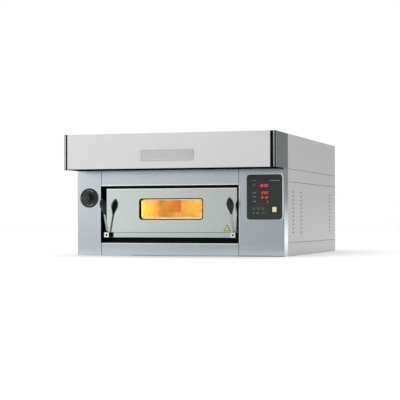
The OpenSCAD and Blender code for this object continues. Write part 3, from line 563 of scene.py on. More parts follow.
def piece(name, mesh, finish, body, smooth=False):
    """Puts a new mesh, whose points are already in the row frame, on a body."""
    bmesh.ops.recalc_face_normals(mesh, faces=mesh.faces)
    made = bpy.data.meshes.new(name)
    mesh.to_mesh(made)
    mesh.free()
    made.materials.append(finish)
    if smooth:
        made.shade_smooth()
    made.set_sharp_from_angle(angle=math.radians(38))
    shown = bpy.data.objects.new(name, made)
    bpy.context.scene.collection.objects.link(shown)
    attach(shown, body)
    return shown


def prism(mesh, outline, near, far, upright=False):
    """Adds a bar. Its outline is (x, z) points run along Y, or (x, y) points run up Z if upright."""
    ends = []
    for level in (near, far):
        ends.append([mesh.verts.new((a, b, level) if upright else (a, level, b)) for a, b in outline])
    front, back = ends
    mesh.faces.new(front)
    mesh.faces.new(back[::-1])
    for i in range(len(outline)):
        mesh.faces.new((front[i - 1], back[i - 1], back[i], front[i]))


def slab(mesh, outline, face_y, thickness):
    """Adds a plate with an (x, z) outline, whose face looks towards -Y."""
    prism(mesh, outline, face_y, face_y + thickness)


def plates(name, outlines, face_y, thickness, finish, body):
    """A piece made of flat plates that share one face and one thickness."""
    mesh = bmesh.new()
    for outline in outlines:
        slab(mesh, outline, face_y, thickness)
    return piece(name, mesh, finish, body)


def band(mesh, inner, outer, face_y, thickness, closed=True):
    """Adds a plate between two outlines with as many points, such as a ring or an arc."""
    levels = (face_y, face_y + thickness)
    rows = [[mesh.verts.new((x, y, z)) for x, z in line] for line in (inner, outer) for y in levels]
    inner_front, inner_back, outer_front, outer_back = rows
    section = (inner_front, outer_front, outer_back, inner_back)
    for i in range(0 if closed else 1, len(inner)):
        for a, b in zip(section, section[1:] + section[:1]):
            mesh.faces.new((a[i - 1], b[i - 1], b[i], a[i]))
    if not closed:
        for end in (0, -1):
            mesh.faces.new([row[end] for row in section])


def rings(mesh, loops, closed=False):
    """Skins a list of vertex loops; the ends are capped unless the list closes on itself."""
    rows = [[mesh.verts.new(p) for p in loop] for loop in loops]
    pairs = list(zip(rows, rows[1:])) + ([(rows[-1], rows[0])] if closed else [])
    for low, high in pairs:
        for i in range(len(low)):
            mesh.faces.new((low[i - 1], low[i], high[i], high[i - 1]))
    if not closed:
        mesh.faces.new(rows[0][::-1])
        mesh.faces.new(rows[-1])


def turns(count):
    """Even angles round a full turn."""
    return [2 * math.pi * k / count for k in range(count)]


def arc(x, z, radius, start=0.0, end=360.0, steps=32):
    """Points on a circle in the XZ plane; a full turn leaves out the repeated last point."""
    count = steps if end - start >= 360 else steps + 1
    angles = [math.radians(start + (end - start) * i / steps) for i in range(count)]
    return [(x + radius * math.cos(t), z + radius * math.sin(t)) for t in angles]


def rounded(left, right, bottom, top, radius):
    """An outline with round corners, whose centres lie at the four limits."""
    path = []
    for x, z, start in ((right, top, 0), (left, top, 90), (left, bottom, 180), (right, bottom, 270)):
        path += arc(x, z, radius, start, start + 90, 8)
    return path


def corners(x0, x1, z0, z1):
    """A rectangle's outline from its limits."""
    return [(x0, z0), (x1, z0), (x1, z1), (x0, z1)]


def box_outline(x, z, width, height):
    """A rectangle's outline round its middle."""
    return corners(x - width / 2, x + width / 2, z - height / 2, z + height / 2)


def middle_of(node):
    """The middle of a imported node's box."""
    low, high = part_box(node)
    return Vector(((low.x + high.x) / 2, (low.y + high.y) / 2, (low.z + high.z) / 2))


def points_of(node, side=0):
    """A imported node's points as an array; side -1 or 1 keeps those at the left or right of its middle."""
    flat = np.empty(len(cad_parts[node].data.vertices) * 3)
    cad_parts[node].data.vertices.foreach_get("co", flat)
    points = flat.reshape(-1, 3)
    middle = (points[:, 0].min() + points[:, 0].max()) / 2
    return points if side == 0 else points[(points[:, 0] - middle) * side > 0]


def rod_line(side):
    """A point on one handle rod's axis and the axis's direction, upwards."""
    points = points_of("handle_rods", side)
    centre = (points.min(0) + points.max(0)) / 2
    _, _, axes = np.linalg.svd(points - points.mean(0))
    return Vector(centre), Vector(axes[0] * np.sign(axes[0][2]))


# ---- steps ----


class DECKOVEN_OT_front(bpy.types.Operator):
    """Finish the polished front: side panels, rails above and below the door, and the black sleeve"""

    bl_idname = "deckoven.front"
    bl_label = "Front"

    def execute(self, context):
        rails = "top_front_rail", "bottom_front_rail"
        paint(satin_stainless(), "left_front_panel", "right_front_panel", *rails)
        enamel = black_enamel("Black stove enamel", 0.09)
        paint(enamel, "door_surround")
        paint(black_enamel("Matt black stove enamel", 0.0), "window_trim")
        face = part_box("top_front_rail")[0].y - 0.3 * MM
        self.joints(face)
        self.opening(face, enamel)
        return {"FINISHED"}

    def joints(self, face):
        """Black strips of painted shadow in the joints beside the rails, and a painted contact shadow along
        the foot where the front stands off the floor.
        """
        low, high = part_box("top_front_rail")
        foot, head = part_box("bottom_front_rail")
        half, right_end = sizes().joint_w / 2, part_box("right_front_panel")[1].x - 2 * MM
        strips = [
            corners(x - half, x + half, bottom + MM, top - MM)
            for x in (low.x, high.x)
            for bottom, top in ((foot.z, head.z), (low.z, high.z))
        ]
        # the painted contact shadow along the front's foot
        strips.append(corners(-260 * MM, high.x, 0.1 * MM, 1.4 * MM))
        strips.append(corners(high.x, right_end, 0.1 * MM, 2.8 * MM))
        plates("front_shadow_strips", strips, face, 0.8 * MM, black_rubber_and_shadow(), "oven")

    def opening(self, face, enamel):
        """The enamelled flange that laps over the opening's edge, and painted highlights on the edges outside
        it.
        """
        low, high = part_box("door_surround")
        lap, lip, drop, gap = 4.4 * MM, 1.2 * MM, 5 * MM, 0.2 * MM
        foot = low.z - drop
        flange = (
            corners(low.x - lap, low.x + lip, foot, high.z),
            corners(low.x + lip, high.x, foot, low.z + lip),
        )
        plates("surround_flange", flange, face, 0.9 * MM, enamel, "oven")
        edges = (
            corners(low.x - lap, high.x, high.z + 0.8 * MM, high.z + 6 * MM),
            corners(low.x - lap - 2.8 * MM, low.x - lap - gap, foot, high.z),
            corners(high.x + 1.6 * MM, high.x + 5 * MM, foot, high.z),
            corners(low.x + 4 * MM, high.x - 2 * MM, foot - 4.4 * MM, foot - gap),
        )
        # painted highlights: near-white strips along the edges round the opening
        bright = edge_highlight_steel()
        plates("opening_edge_highlights", edges, face + 0.15 * MM, 0.5 * MM, bright, "oven")


class DECKOVEN_OT_casing(bpy.types.Operator):
    """Finish the painted casing, the frame behind it and its screws"""

    bl_idname = "deckoven.casing"
    bl_label = "Casing"

    def execute(self, context):
        body = ("left_side_panel", "right_side_panel", "back_panel", "top_cover", "base_pan")
        paint(powder_coat(), *body, "hood_side_left", "hood_side_right", "hood_top")
        paint(galvanised_steel(), "chassis_frame", "component_plate", "vent_duct", "flue_collar")
        paint(turned_stainless(), "case_screws", "damper_spindle")
        self.filters()
        return {"FINISHED"}

    def filters(self):
        """A strip of filter foam behind each column of slots in the side panels."""
        half, thick, depth = 17 * MM, 0.8 * MM, 11 * MM
        left, right = "left_side_panel", "right_side_panel"
        mesh = bmesh.new()
        for panel, x in ((left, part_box(left)[1].x - depth), (right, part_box(right)[0].x + depth - thick)):
            low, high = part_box(panel)
            for y in self.louvres(panel):
                plan = corners(x, x + thick, y - half, y + half)
                prism(mesh, plan, low.z + 40 * MM, high.z - 38 * MM, upright=True)
        foam = plastic("Dark grey filter foam", "#434546", 0.9, 2.5)
        piece("louvre_filters", mesh, foam, "oven")

    def louvres(self, panel):
        """The places along Y of the columns of slots: the middles of the runs of points inside the panel."""
        points = points_of(panel)
        low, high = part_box(panel)
        margin_y, margin_z, column_gap = 20 * MM, 40 * MM, 60 * MM
        inside = points[(points[:, 2] > low.z + margin_z) & (points[:, 2] < high.z - margin_z)]
        ends = {round(float(y), 4) for y in inside[:, 1] if low.y + margin_y < y < high.y - margin_y}
        ends = sorted(ends)
        columns = [[ends[0]]]
        for y in ends[1:]:
            if y - columns[-1][-1] > column_gap:
                columns.append([])
            columns[-1].append(y)
        return [(column[0] + column[-1]) / 2 for column in columns]


class DECKOVEN_OT_hood(bpy.types.Operator):
    """Finish the steam hood's front, cheeks, corner profiles and blank plate"""

    bl_idname = "deckoven.hood"
    bl_label = "Hood"

    def execute(self, context):
        paint(hood_stainless(), "hood_fascia")
        paint(shaded_cheek_stainless(), "hood_cheek_left", "hood_cheek_right")
        paint(extruded_aluminium(), "hood_corner_left", "hood_corner_right")
        paint(plate_metal(), "name_plate")
        self.shadow_sheets()
        return {"FINISHED"}

    def shadow_sheets(self):
        """Black sheets of painted shadow: they fill the front grooves, cover the underside and close the
        joint above the front, where there is only shade.
        """
        low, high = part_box("hood_fascia")
        skin = 0.05 * MM
        mesh = bmesh.new()
        for side, start, end in ((-1, 1.6, 7.6), (1, -8.0, 6.2)):
            near, far = side * (high.x + start * MM), side * (high.x + end * MM)
            groove = corners(near, far, low.y - 0.8 * MM, low.y - skin)
            prism(mesh, groove, low.z + 0.2 * MM, high.z - 0.2 * MM, upright=True)
        outer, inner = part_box("hood_corner_right")[1].x - MM, low.x + 5 * MM
        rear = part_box("top_front_rail")[0].y - 2 * MM
        # painted shadow over the hood's open underside
        prism(mesh, corners(-outer, outer, low.y + MM, rear), low.z - 2.2 * MM, low.z - skin, upright=True)
        slab(mesh, corners(inner, -inner, low.z - 0.5 * MM, low.z + 9.5 * MM), rear + 2.5 * MM, 3 * MM)
        piece("hood_shadow_sheets", mesh, black_rubber_and_shadow(), "oven")


class DECKOVEN_OT_chamber(bpy.types.Operator):
    """Finish the baking chamber and build its braided door seal, lamp bulb and wool slabs"""

    bl_idname = "deckoven.chamber"
    bl_label = "Baking chamber"

    def execute(self, context):
        paint(aluminised_steel(), "chamber_liner", "door_liner")
        paint(hearth_stone(), "hearth_stones")
        paint(heater_sheath(), "top_elements", "bottom_elements")
        paint(glazed_porcelain(), "chamber_lamp")
        paint(ceramic_glass(), "window_glass", "lamp_lens")
        paint(turned_stainless(), "temperature_probes")
        self.seal()
        self.bulb()
        self.window()
        wool = mineral_wool()
        for node, body in (("insulation_blankets", "oven"), ("door_insulation", "door")):
            self.slabs(node, body, wool)
        return {"FINISHED"}

    def seal(self):
        """A flattened rope of braided yarn that lies round the chamber's mouth."""
        low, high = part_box("door_seal")
        packed = points_of("door_seal")
        left_run = packed[(packed[:, 0] > low.x + 2 * MM) & (packed[:, 0] < 0)]
        width = left_run[:, 0].max() - low.x
        half, thick, middle_y = width / 2, (high.y - low.y) / 2, middle_of("door_seal").y
        inset = half + width
        path = rounded(low.x + inset, high.x - inset, low.z + inset, high.z - inset, width)
        step = sizes().braid_pitch / 7
        dense = []
        for (x0, z0), (x1, z1) in zip(path, path[1:] + path[:1]):
            count = max(1, round(math.dist((x0, z0), (x1, z1)) / step))
            dense += [(x0 + (x1 - x0) * i / count, z0 + (z1 - z0) * i / count) for i in range(count)]
        loops, run = [], 0.0
        for i, (x, z) in enumerate(dense):
            ahead, behind = dense[(i + 1) % len(dense)], dense[i - 1]
            tangent = Vector((ahead[0] - behind[0], 0, ahead[1] - behind[1])).normalized()
            out, deep = Vector((tangent.z, 0, -tangent.x)) * half, Vector((0, thick, 0))
            run += math.dist((x, z), behind) if i else 0.0
            phase = 2 * math.pi * run / sizes().braid_pitch
            loop = []
            for turn in turns(10):
                swell = 0.9 + 0.1 * math.sin(phase + 2 * turn) * math.sin(phase - 2 * turn)
                loop.append(Vector((x, middle_y, z)) + swell * (out * math.cos(turn) + deep * math.sin(turn)))
            loops.append(loop)
        mesh = bmesh.new()
        rings(mesh, loops, closed=True)
        rope = piece("door_seal_rope", mesh, fibreglass_rope(), "oven", smooth=True)
        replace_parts(rope, "door_seal")

    def bulb(self):
        """A glowing glass bulb round the holder's middle."""
        centre = middle_of("chamber_lamp")
        centre.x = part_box("chamber_lamp")[0].x + 16 * MM
        radius, steps = 11.5 * MM, 14
        loops = []
        for i in range(1, steps):
            turn = math.pi * i / steps
            wide = radius * math.sin(turn) * (1.0 if turn > math.pi / 2 else 0.94)
            at = centre + Vector((radius * math.cos(turn), 0, 0))
            loops.append([at + wide * Vector((0, math.cos(a), math.sin(a))) for a in turns(20)])
        mesh = bmesh.new()
        rings(mesh, loops)
        lit = glowing("Lit lamp glass", list(colours().lamp), 12.0)
        piece("lamp_bulb", mesh, lit, "oven", smooth=True)

    def window(self):
        """Strips of painted glow along the inner pane's bottom and top edges, and the gasket round the trim.
        """
        low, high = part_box("window_trim")
        wall, behind = 2.2 * MM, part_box("window_glass")[1].y + 0.3 * MM
        left, right, bottom, top = low.x + wall, high.x - wall, low.z + wall, high.z - wall
        edges = corners(left, right, bottom, bottom + 7.5 * MM), corners(left, right, top - 3.4 * MM, top)
        # painted glow: emissive strips, not a lamp
        lit = glowing("Glass edge with painted glow", linear("#ffe9b4"), 0.95)
        plates("window_glow_strips", edges, behind, 0.4 * MM, lit, "door")
        corner = 13 * MM
        centres = (low.x + corner, high.x - corner, low.z + corner, high.z - corner)
        inner, outer = (rounded(*centres, corner + reach) for reach in (-2.4 * MM, 2.8 * MM))
        gasket = bmesh.new()
        band(gasket, inner, outer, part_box("door_skin")[0].y - 0.3 * MM, 0.25 * MM)
        piece("window_gasket", gasket, black_rubber_and_shadow(), "door")

    def slabs(self, node, body, wool):
        """Wool slabs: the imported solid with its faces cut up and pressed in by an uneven, fibrous depth."""
        mesh = bmesh.new()
        mesh.from_mesh(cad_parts[node].data)
        bmesh.ops.remove_doubles(mesh, verts=mesh.verts, dist=0.01 * MM)
        bmesh.ops.dissolve_limit(mesh, angle_limit=math.radians(1), verts=mesh.verts, edges=mesh.edges)
        bmesh.ops.triangulate(mesh, faces=mesh.faces)
        longest, tuft, depth = 45 * MM, 30 * MM, 0.4 * MM
        for _ in range(4):
            long_edges = [e for e in mesh.edges if e.calc_length() > longest]
            bmesh.ops.subdivide_edges(mesh, edges=long_edges, cuts=1, use_grid_fill=False)
            bmesh.ops.triangulate(mesh, faces=mesh.faces)
        mesh.normal_update()
        for v in mesh.verts:
            v.co -= v.normal * (0.6 + 0.5 * noise.noise(v.co / tuft)) * depth
        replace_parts(piece(node + "_slabs", mesh, wool, body), node)


class DECKOVEN_OT_door(bpy.types.Operator):
    """Finish the door's outer skin and rail, and print its safety label"""

    bl_idname = "deckoven.door"
    bl_label = "Door"

    def execute(self, context):
        paint(polished_stainless(), "door_skin", "door_rail")
        self.label()
        low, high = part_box("door_skin")
        face, thick, margin = low.y - 0.2 * MM, 0.5 * MM, 0.5 * MM
        seam = corners(low.x + 26 * MM, high.x - 26 * MM, low.z - 1.3 * MM, low.z + 0.6 * MM)
        plates("door_seam", [seam], face, thick, black_rubber_and_shadow(), "door")
        # painted highlight along the door's top edge
        edge = corners(low.x + margin, high.x - margin, high.z - 4.6 * MM, high.z - 0.3 * MM)
        plates("door_top_highlight", [edge], face, thick, edge_highlight_steel(), "door")
        return {"FINISHED"}

    def label(self):
        """A plain triangular safety label: a yellow field in a black border, clear of the right handle."""
        low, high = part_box("door_skin")
        side, film, rule = sizes().label_side, sizes().print_t, 2.1 * MM
        centre_x, centre_z = high.x - 52 * MM, low.z + 6 * MM + side * math.sqrt(3) / 6

        def triangle(inset):
            """A triangle with small round corners, drawn in from the label's edge."""
            reach = side / math.sqrt(3) - 2 * inset - 3 * MM
            points = []
            for turn in (90, 210, 330):
                x = centre_x + reach * math.cos(math.radians(turn))
                z = centre_z + reach * math.sin(math.radians(turn))
                points += arc(x, z, 1.5 * MM, turn - 60, turn + 60, 5)
            return points

        border = bmesh.new()
        band(border, triangle(rule), triangle(0), low.y - 2 * film, 2 * film)
        black = ink("Black label ink", linear("#23231c"))
        piece("safety_label_border", border, black, "door")
        yellow = ink("Yellow label film", list(colours().label))
        field = [triangle(rule)]
        plates("safety_label_field", field, low.y - film, film, yellow, "door")


class DECKOVEN_OT_handles(bpy.types.Operator):
    """Finish the hinge blocks and rods, and mould the leaf-shaped grips"""

    bl_idname = "deckoven.handles"
    bl_label = "Hinges and handles"

    def execute(self, context):
        paint(hinge_with_shaded_sides(), "hinge_blocks")
        paint(bright_chrome(), "handle_rods")
        paint(blackened_steel(), "hinge_screws")
        paint(sintered_bronze(), "hinge_bushes")
        mesh = bmesh.new()
        for side in (-1, 1):
            self.grip(mesh, side)
        moulded = phenolic("Moulded phenolic", 1.0)
        grips = piece("handle_grips_moulded", mesh, moulded, "door", smooth=True)
        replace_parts(grips, "handle_grips")
        return {"FINISHED"}

    def grip(self, mesh, side):
        """A flattened leaf that swells from its neck to a round top, set on its rod's axis."""
        origin, axis = rod_line(side)
        across = Vector((1, 0, 0))
        through = axis.cross(across).normalized()
        packed = points_of("handle_grips", side) - np.array(origin)
        lengthwise = packed @ np.array(axis)
        half_w, half_t = (np.abs(packed @ np.array(way)).max() * 0.985 for way in (across, through))
        bottom, top = lengthwise.min(), lengthwise.max() - 0.5 * MM
        stations, least, squareness = 40, 0.2 * MM, 0.94
        loops = []
        for i in range(stations + 1):
            t = 0.5 - 0.5 * math.cos(math.pi * i / stations)
            leaf = max(0.0, math.sin(math.pi * t**1.18)) ** 0.72
            collar = sizes().grip_neck * (1 - t) ** 4
            wide = across * max(math.hypot(half_w * leaf, collar), least)
            thick = through * max(math.hypot(half_t * leaf**1.1, collar), least)
            at = origin + axis * (bottom + (top - bottom) * t)
            loop = []
            for turn in turns(36):
                c, s = (math.copysign(abs(v) ** squareness, v) for v in (math.cos(turn), math.sin(turn)))
                loop.append(at + wide * c + thick * s)
            loops.append(loop)
        rings(mesh, loops)


class DECKOVEN_OT_vent(bpy.types.Operator):
    """Finish the vent dial, print its marks and mould the fluted knob"""

    bl_idname = "deckoven.vent"
    bl_label = "Steam vent"

    def execute(self, context):
        paint(printed_face("Printed dial", list(colours().dial), 0.42), "vent_dial")
        low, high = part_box("vent_dial")
        x, _, z = middle_of("vent_dial")
        radius, thick = (high.x - low.x) / 2, sizes().print_t
        face = low.y - thick
        marks = bmesh.new()
        # one short thick mark and three thin ones over the knob, and the same under it
        for sign in (1, -1):
            for start, end, width in ((62, 70, 5.0), (76, 84, 1.6), (88, 96, 1.6), (100, 108, 1.6)):
                a, b = (start, end) if sign > 0 else (-end, -start)
                outer, inner = (arc(x, z, radius * 0.80 - w * MM, a, b, 6) for w in (0, width))
                band(marks, inner, outer, face, thick, closed=False)
        slab(marks, box_outline(x - radius * 0.82, z, 1.6 * MM, 7 * MM), face, thick)
        piece("dial_marks", marks, ink("Dial ink", list(colours().dial_ink)), "oven")
        self.knob(x, z)
        return {"FINISHED"}

    def knob(self, x, z):
        """A fluted knob with a round edge, a shallow dished face and a pointer line."""
        low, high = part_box("vent_knob")
        base_r, depth = (high.x - low.x) / 2, high.y - low.y
        flutes, around = 12, 96
        # (radius share, depth share from the dial, flute share)
        profile = [
            (0.90, 0.0, 0), (0.985, 0.01, 0), (1.0, 0.04, 0), (1.0, 0.12, 0), (0.97, 0.16, 0),
            (0.84, 0.18, 0), (0.79, 0.21, 0.3), (0.78, 0.35, 1), (0.76, 0.60, 1), (0.745, 0.86, 1),
            (0.73, 0.92, 0.8), (0.70, 0.965, 0.3), (0.66, 0.99, 0), (0.62, 1.0, 0), (0.56, 0.995, 0),
            (0.53, 0.97, 0), (0.28, 0.96, 0), (0.02, 0.96, 0),
        ]
        loops = []
        for share, out, flute in profile:
            loop = []
            for turn in turns(around):
                cut = sizes().knob_flute * flute * (0.5 - 0.5 * math.cos(flutes * turn)) ** 1.6
                r = base_r * share - cut
                loop.append(Vector((x + r * math.cos(turn), high.y - depth * out, z + r * math.sin(turn))))
            loops.append(loop)
        mesh = bmesh.new()
        rings(mesh, loops)
        # the knob's phenolic is four times lighter than the grips', as painted light on its face
        moulded = phenolic("Knob phenolic lightened as painted light", 4.0)
        knob = piece("vent_knob_moulded", mesh, moulded, "damper", smooth=True)
        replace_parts(knob, "vent_knob")
        line = [box_outline(x - base_r * 0.59, z, base_r * 0.12, 1.4 * MM)]
        white = ink("Pointer paint", linear("#9aa3a0"))
        plates("knob_pointer", line, low.y + 0.02 * MM, 0.5 * MM, white, "damper")


class DECKOVEN_OT_controls(bpy.types.Operator):
    """Finish the control panel: film, displays with their digits, keys, legends and the lit switch"""

    bl_idname = "deckoven.controls"
    bl_label = "Controls"

    def execute(self, context):
        paint(printed_face("Control film", list(colours().fascia), 0.34), "control_fascia")
        paint(glowing("Red display lens", linear("#5c1018"), 0.3), "displays")
        paint(plastic("Key caps", "#3a403f", 0.4, 0.8), "menu_key", "up_key", "down_key")
        paint(plastic("Black switch frame", "#0f1010", 0.22, 0.8), "switch_housing")
        paint(glowing("Lit switch button", shade(list(colours().button), 0.8), 0.25), "switch_button")
        self.rim()
        self.digits()
        self.symbols()
        self.legends()
        self.bead()
        return {"FINISHED"}

    def rim(self):
        """The black frame line round the switch's lit button."""
        low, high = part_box("switch_button")
        x, _, z = middle_of("switch_button")
        wide, tall = high.x - low.x, high.z - low.z
        inner = box_outline(x, z, wide - 4.4 * MM, tall - 3.2 * MM)
        outer = box_outline(x, z, wide - 0.6 * MM, tall - 0.6 * MM)
        mesh = bmesh.new()
        band(mesh, inner, outer, low.y - sizes().print_t, 0.3 * MM)
        piece("switch_rim", mesh, black_rubber_and_shadow(), "lit_switch")

    def digits(self):
        """Seven-segment figures in front of the four display modules."""
        points = points_of("displays")
        face = points[:, 1].min()
        levels = sorted({round(float(z), 5) for z in points[:, 2]}, reverse=True)
        rows = [(levels[i + 1], levels[i]) for i in range(0, len(levels), 2)]
        mesh = bmesh.new()
        for (bottom, top), text in zip(rows, ("1830", "250", "215", "1")):
            own = points[(points[:, 2] > bottom - 0.1 * MM) & (points[:, 2] < top + 0.1 * MM)]
            left, right = own[:, 0].min(), own[:, 0].max()
            cell = (right - left) / len(text)
            wide, tall, z = cell * 0.62, (top - bottom) * 0.56, (bottom + top) / 2
            for i, figure in enumerate(text):
                self.figure(mesh, figure, left + cell * (i + 0.5), z, wide, tall, face)
        lit = glowing("Lit red segments", list(colours().digits), 1.1)
        piece("display_digits", mesh, lit, "oven")

    def figure(self, mesh, figure, x, z, width, height, face):
        """One figure of slanted six-sided segments."""
        on = {"0": "abcdef", "1": "bc", "2": "abged", "3": "abgcd", "5": "afgcd", "8": "abcdefg"}[figure]
        w, h, s = width / 2, height / 2, min(sizes().digit_stroke, width * 0.26) / 2
        ends = {
            "a": ((-w, h), (w, h)), "b": ((w, h), (w, 0)), "c": ((w, 0), (w, -h)), "d": ((-w, -h), (w, -h)),
            "e": ((-w, 0), (-w, -h)), "f": ((-w, h), (-w, 0)), "g": ((-w, 0), (w, 0)),
        }
        slant, gap = 0.2, 0.35
        for name in on:
            start, end = (Vector(point) for point in ends[name])
            run = (end - start).normalized() * s
            side = Vector((-run.y, run.x))
            a, b = start + run * gap, end - run * gap
            outline = [a, a + run - side, b - run - side, b, b - run + side, a + run + side]
            shape = [(x + p.x + slant * p.y, z + p.y) for p in outline]
            slab(mesh, shape, face - sizes().print_t, sizes().print_t)

    def symbols(self):
        """A ringed symbol on each key cap: a square, a triangle up and a triangle down."""
        for node, body, points_at in (
            ("menu_key", "menu_button", (45, 135, 225, 315)),
            ("up_key", "up_button", (90, 210, 330)),
            ("down_key", "down_button", (30, 150, 270)),
        ):
            face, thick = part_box(node)[0].y - sizes().print_t, sizes().print_t
            x, _, z = middle_of(node)
            mesh = bmesh.new()
            slab(mesh, [arc(x, z, 1.5 * MM, turn, turn, 1)[0] for turn in points_at], face, thick)
            band(mesh, arc(x, z, 4.9 * MM), arc(x, z, 6.1 * MM), face, thick)
            piece(node + "_symbol", mesh, ink("Key ink", linear("#84908c")), body)

    def legends(self):
        """Faint pictograms beside the displays and under the keys, and a plain line at the top right."""
        low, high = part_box("control_fascia")
        face, thick = low.y - sizes().print_t, sizes().print_t
        mesh = bmesh.new()
        x, top = low.x + 38 * MM, high.z

        def ring(cx, cz, radius, stroke=1.1):
            band(mesh, arc(cx, cz, radius - stroke * MM), arc(cx, cz, radius), face, thick)

        def bar(cx, cz, width, height=1.4):
            slab(mesh, box_outline(cx, cz, width * MM, height * MM), face, thick)

        # a row of four blocks, a clock, two rising and falling steps, and a row of growing bars
        for i in range(4):
            bar(x - 9 * MM + 6 * i * MM, top - 30 * MM, 4.2, 3.2)
        ring(x, top - 53 * MM, 6.5 * MM)
        bar(x + 1.4 * MM, top - 53 * MM, 4, 1.1)
        bar(x, top - 50.8 * MM, 1.1, 4.6)
        for drop, side in ((90, 1), (111, -1)):
            bar(x - 5 * MM, top - drop * MM, 2.2, 9)
            for k in range(3):
                bar(x + (1 + 4 * k) * MM, top - drop * MM + side * (k - 1) * 2 * MM, 2.6, 5)
        for k in range(4):
            bar(x - 6 * MM + 4.2 * k * MM, top - 133.5 * MM, 2.6, 2.4 + 1.6 * k)
        # under the keys: a block with a dash, a frame, and a ring with a dash
        left_key, middle_key, right_key = sorted(middle_of(n).x for n in ("menu_key", "up_key", "down_key"))
        z, frame_x = low.z + 32 * MM, middle_key - 3 * MM
        bar(left_key - 2 * MM, z, 6, 6)
        bar(left_key + 6 * MM, z, 5, 1.4)
        inner, outer = (box_outline(frame_x, z, w * MM, (w - 1) * MM) for w in (6, 9))
        band(mesh, inner, outer, face, thick)
        ring(right_key, z, 4.2 * MM)
        bar(right_key + 10 * MM, z, 7, 1.6)
        piece("fascia_legends", mesh, ink("Legend ink", list(colours().print_ink)), "oven")
        rule = [box_outline(high.x - 38 * MM, top - 31 * MM, 50 * MM, 1.9 * MM)]
        pale = ink("Pale rule ink", linear("#b4b8b8"))
        plates("fascia_rule", rule, face, thick, pale, "oven")

    def bead(self):
        """A half-round bead on the front, along the panel's outline, near white as a painted highlight and
        thickest at its top right.
        """
        low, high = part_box("control_fascia")
        front, corner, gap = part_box("right_front_panel")[0].y + 0.1 * MM, 17 * MM, 0.3 * MM
        ahead = Vector((0, 1, 0))
        left, right, bottom, top = low.x + corner, high.x - corner, low.z + corner, high.z - corner
        loops = []
        for x, z, start in ((right, top, 0), (left, top, 90), (left, bottom, 180), (right, bottom, 270)):
            for ax, az in arc(0, 0, 1, start, start + 90, 8):
                # the bead swells towards the top right, where its painted highlight is strongest
                radius = sizes().bead * (0.62 + 0.45 * (ax + az))
                out = Vector((ax, 0, az))
                centre = Vector((x, front, z)) + out * (corner + radius + gap)
                half_turn = [math.pi * k / 8 for k in range(9)]
                loops.append([centre + radius * (out * math.cos(a) - ahead * math.sin(a)) for a in half_turn])
        mesh = bmesh.new()
        rings(mesh, loops, closed=True)
        piece("fascia_highlight_bead", mesh, highlight_bead(), "oven", smooth=True)


class DECKOVEN_OT_electrics(bpy.types.Operator):
    """Finish the parts behind the control side and at the back"""

    bl_idname = "deckoven.electrics"
    bl_label = "Electrics and cooling"

    def execute(self, context):
        paint(solder_mask(), "control_board")
        paint(plastic("Grey relay cases", "#c9c9c3", 0.45), "contactors")
        paint(plastic("Beige terminal polyamide", "#c5bb94", 0.5), "terminal_block")
        black = plastic("Black glass-filled polyamide", "#1b1c1d", 0.48)
        paint(black, "fan_housing", "fan_rotor", "cable_gland")
        return {"FINISHED"}


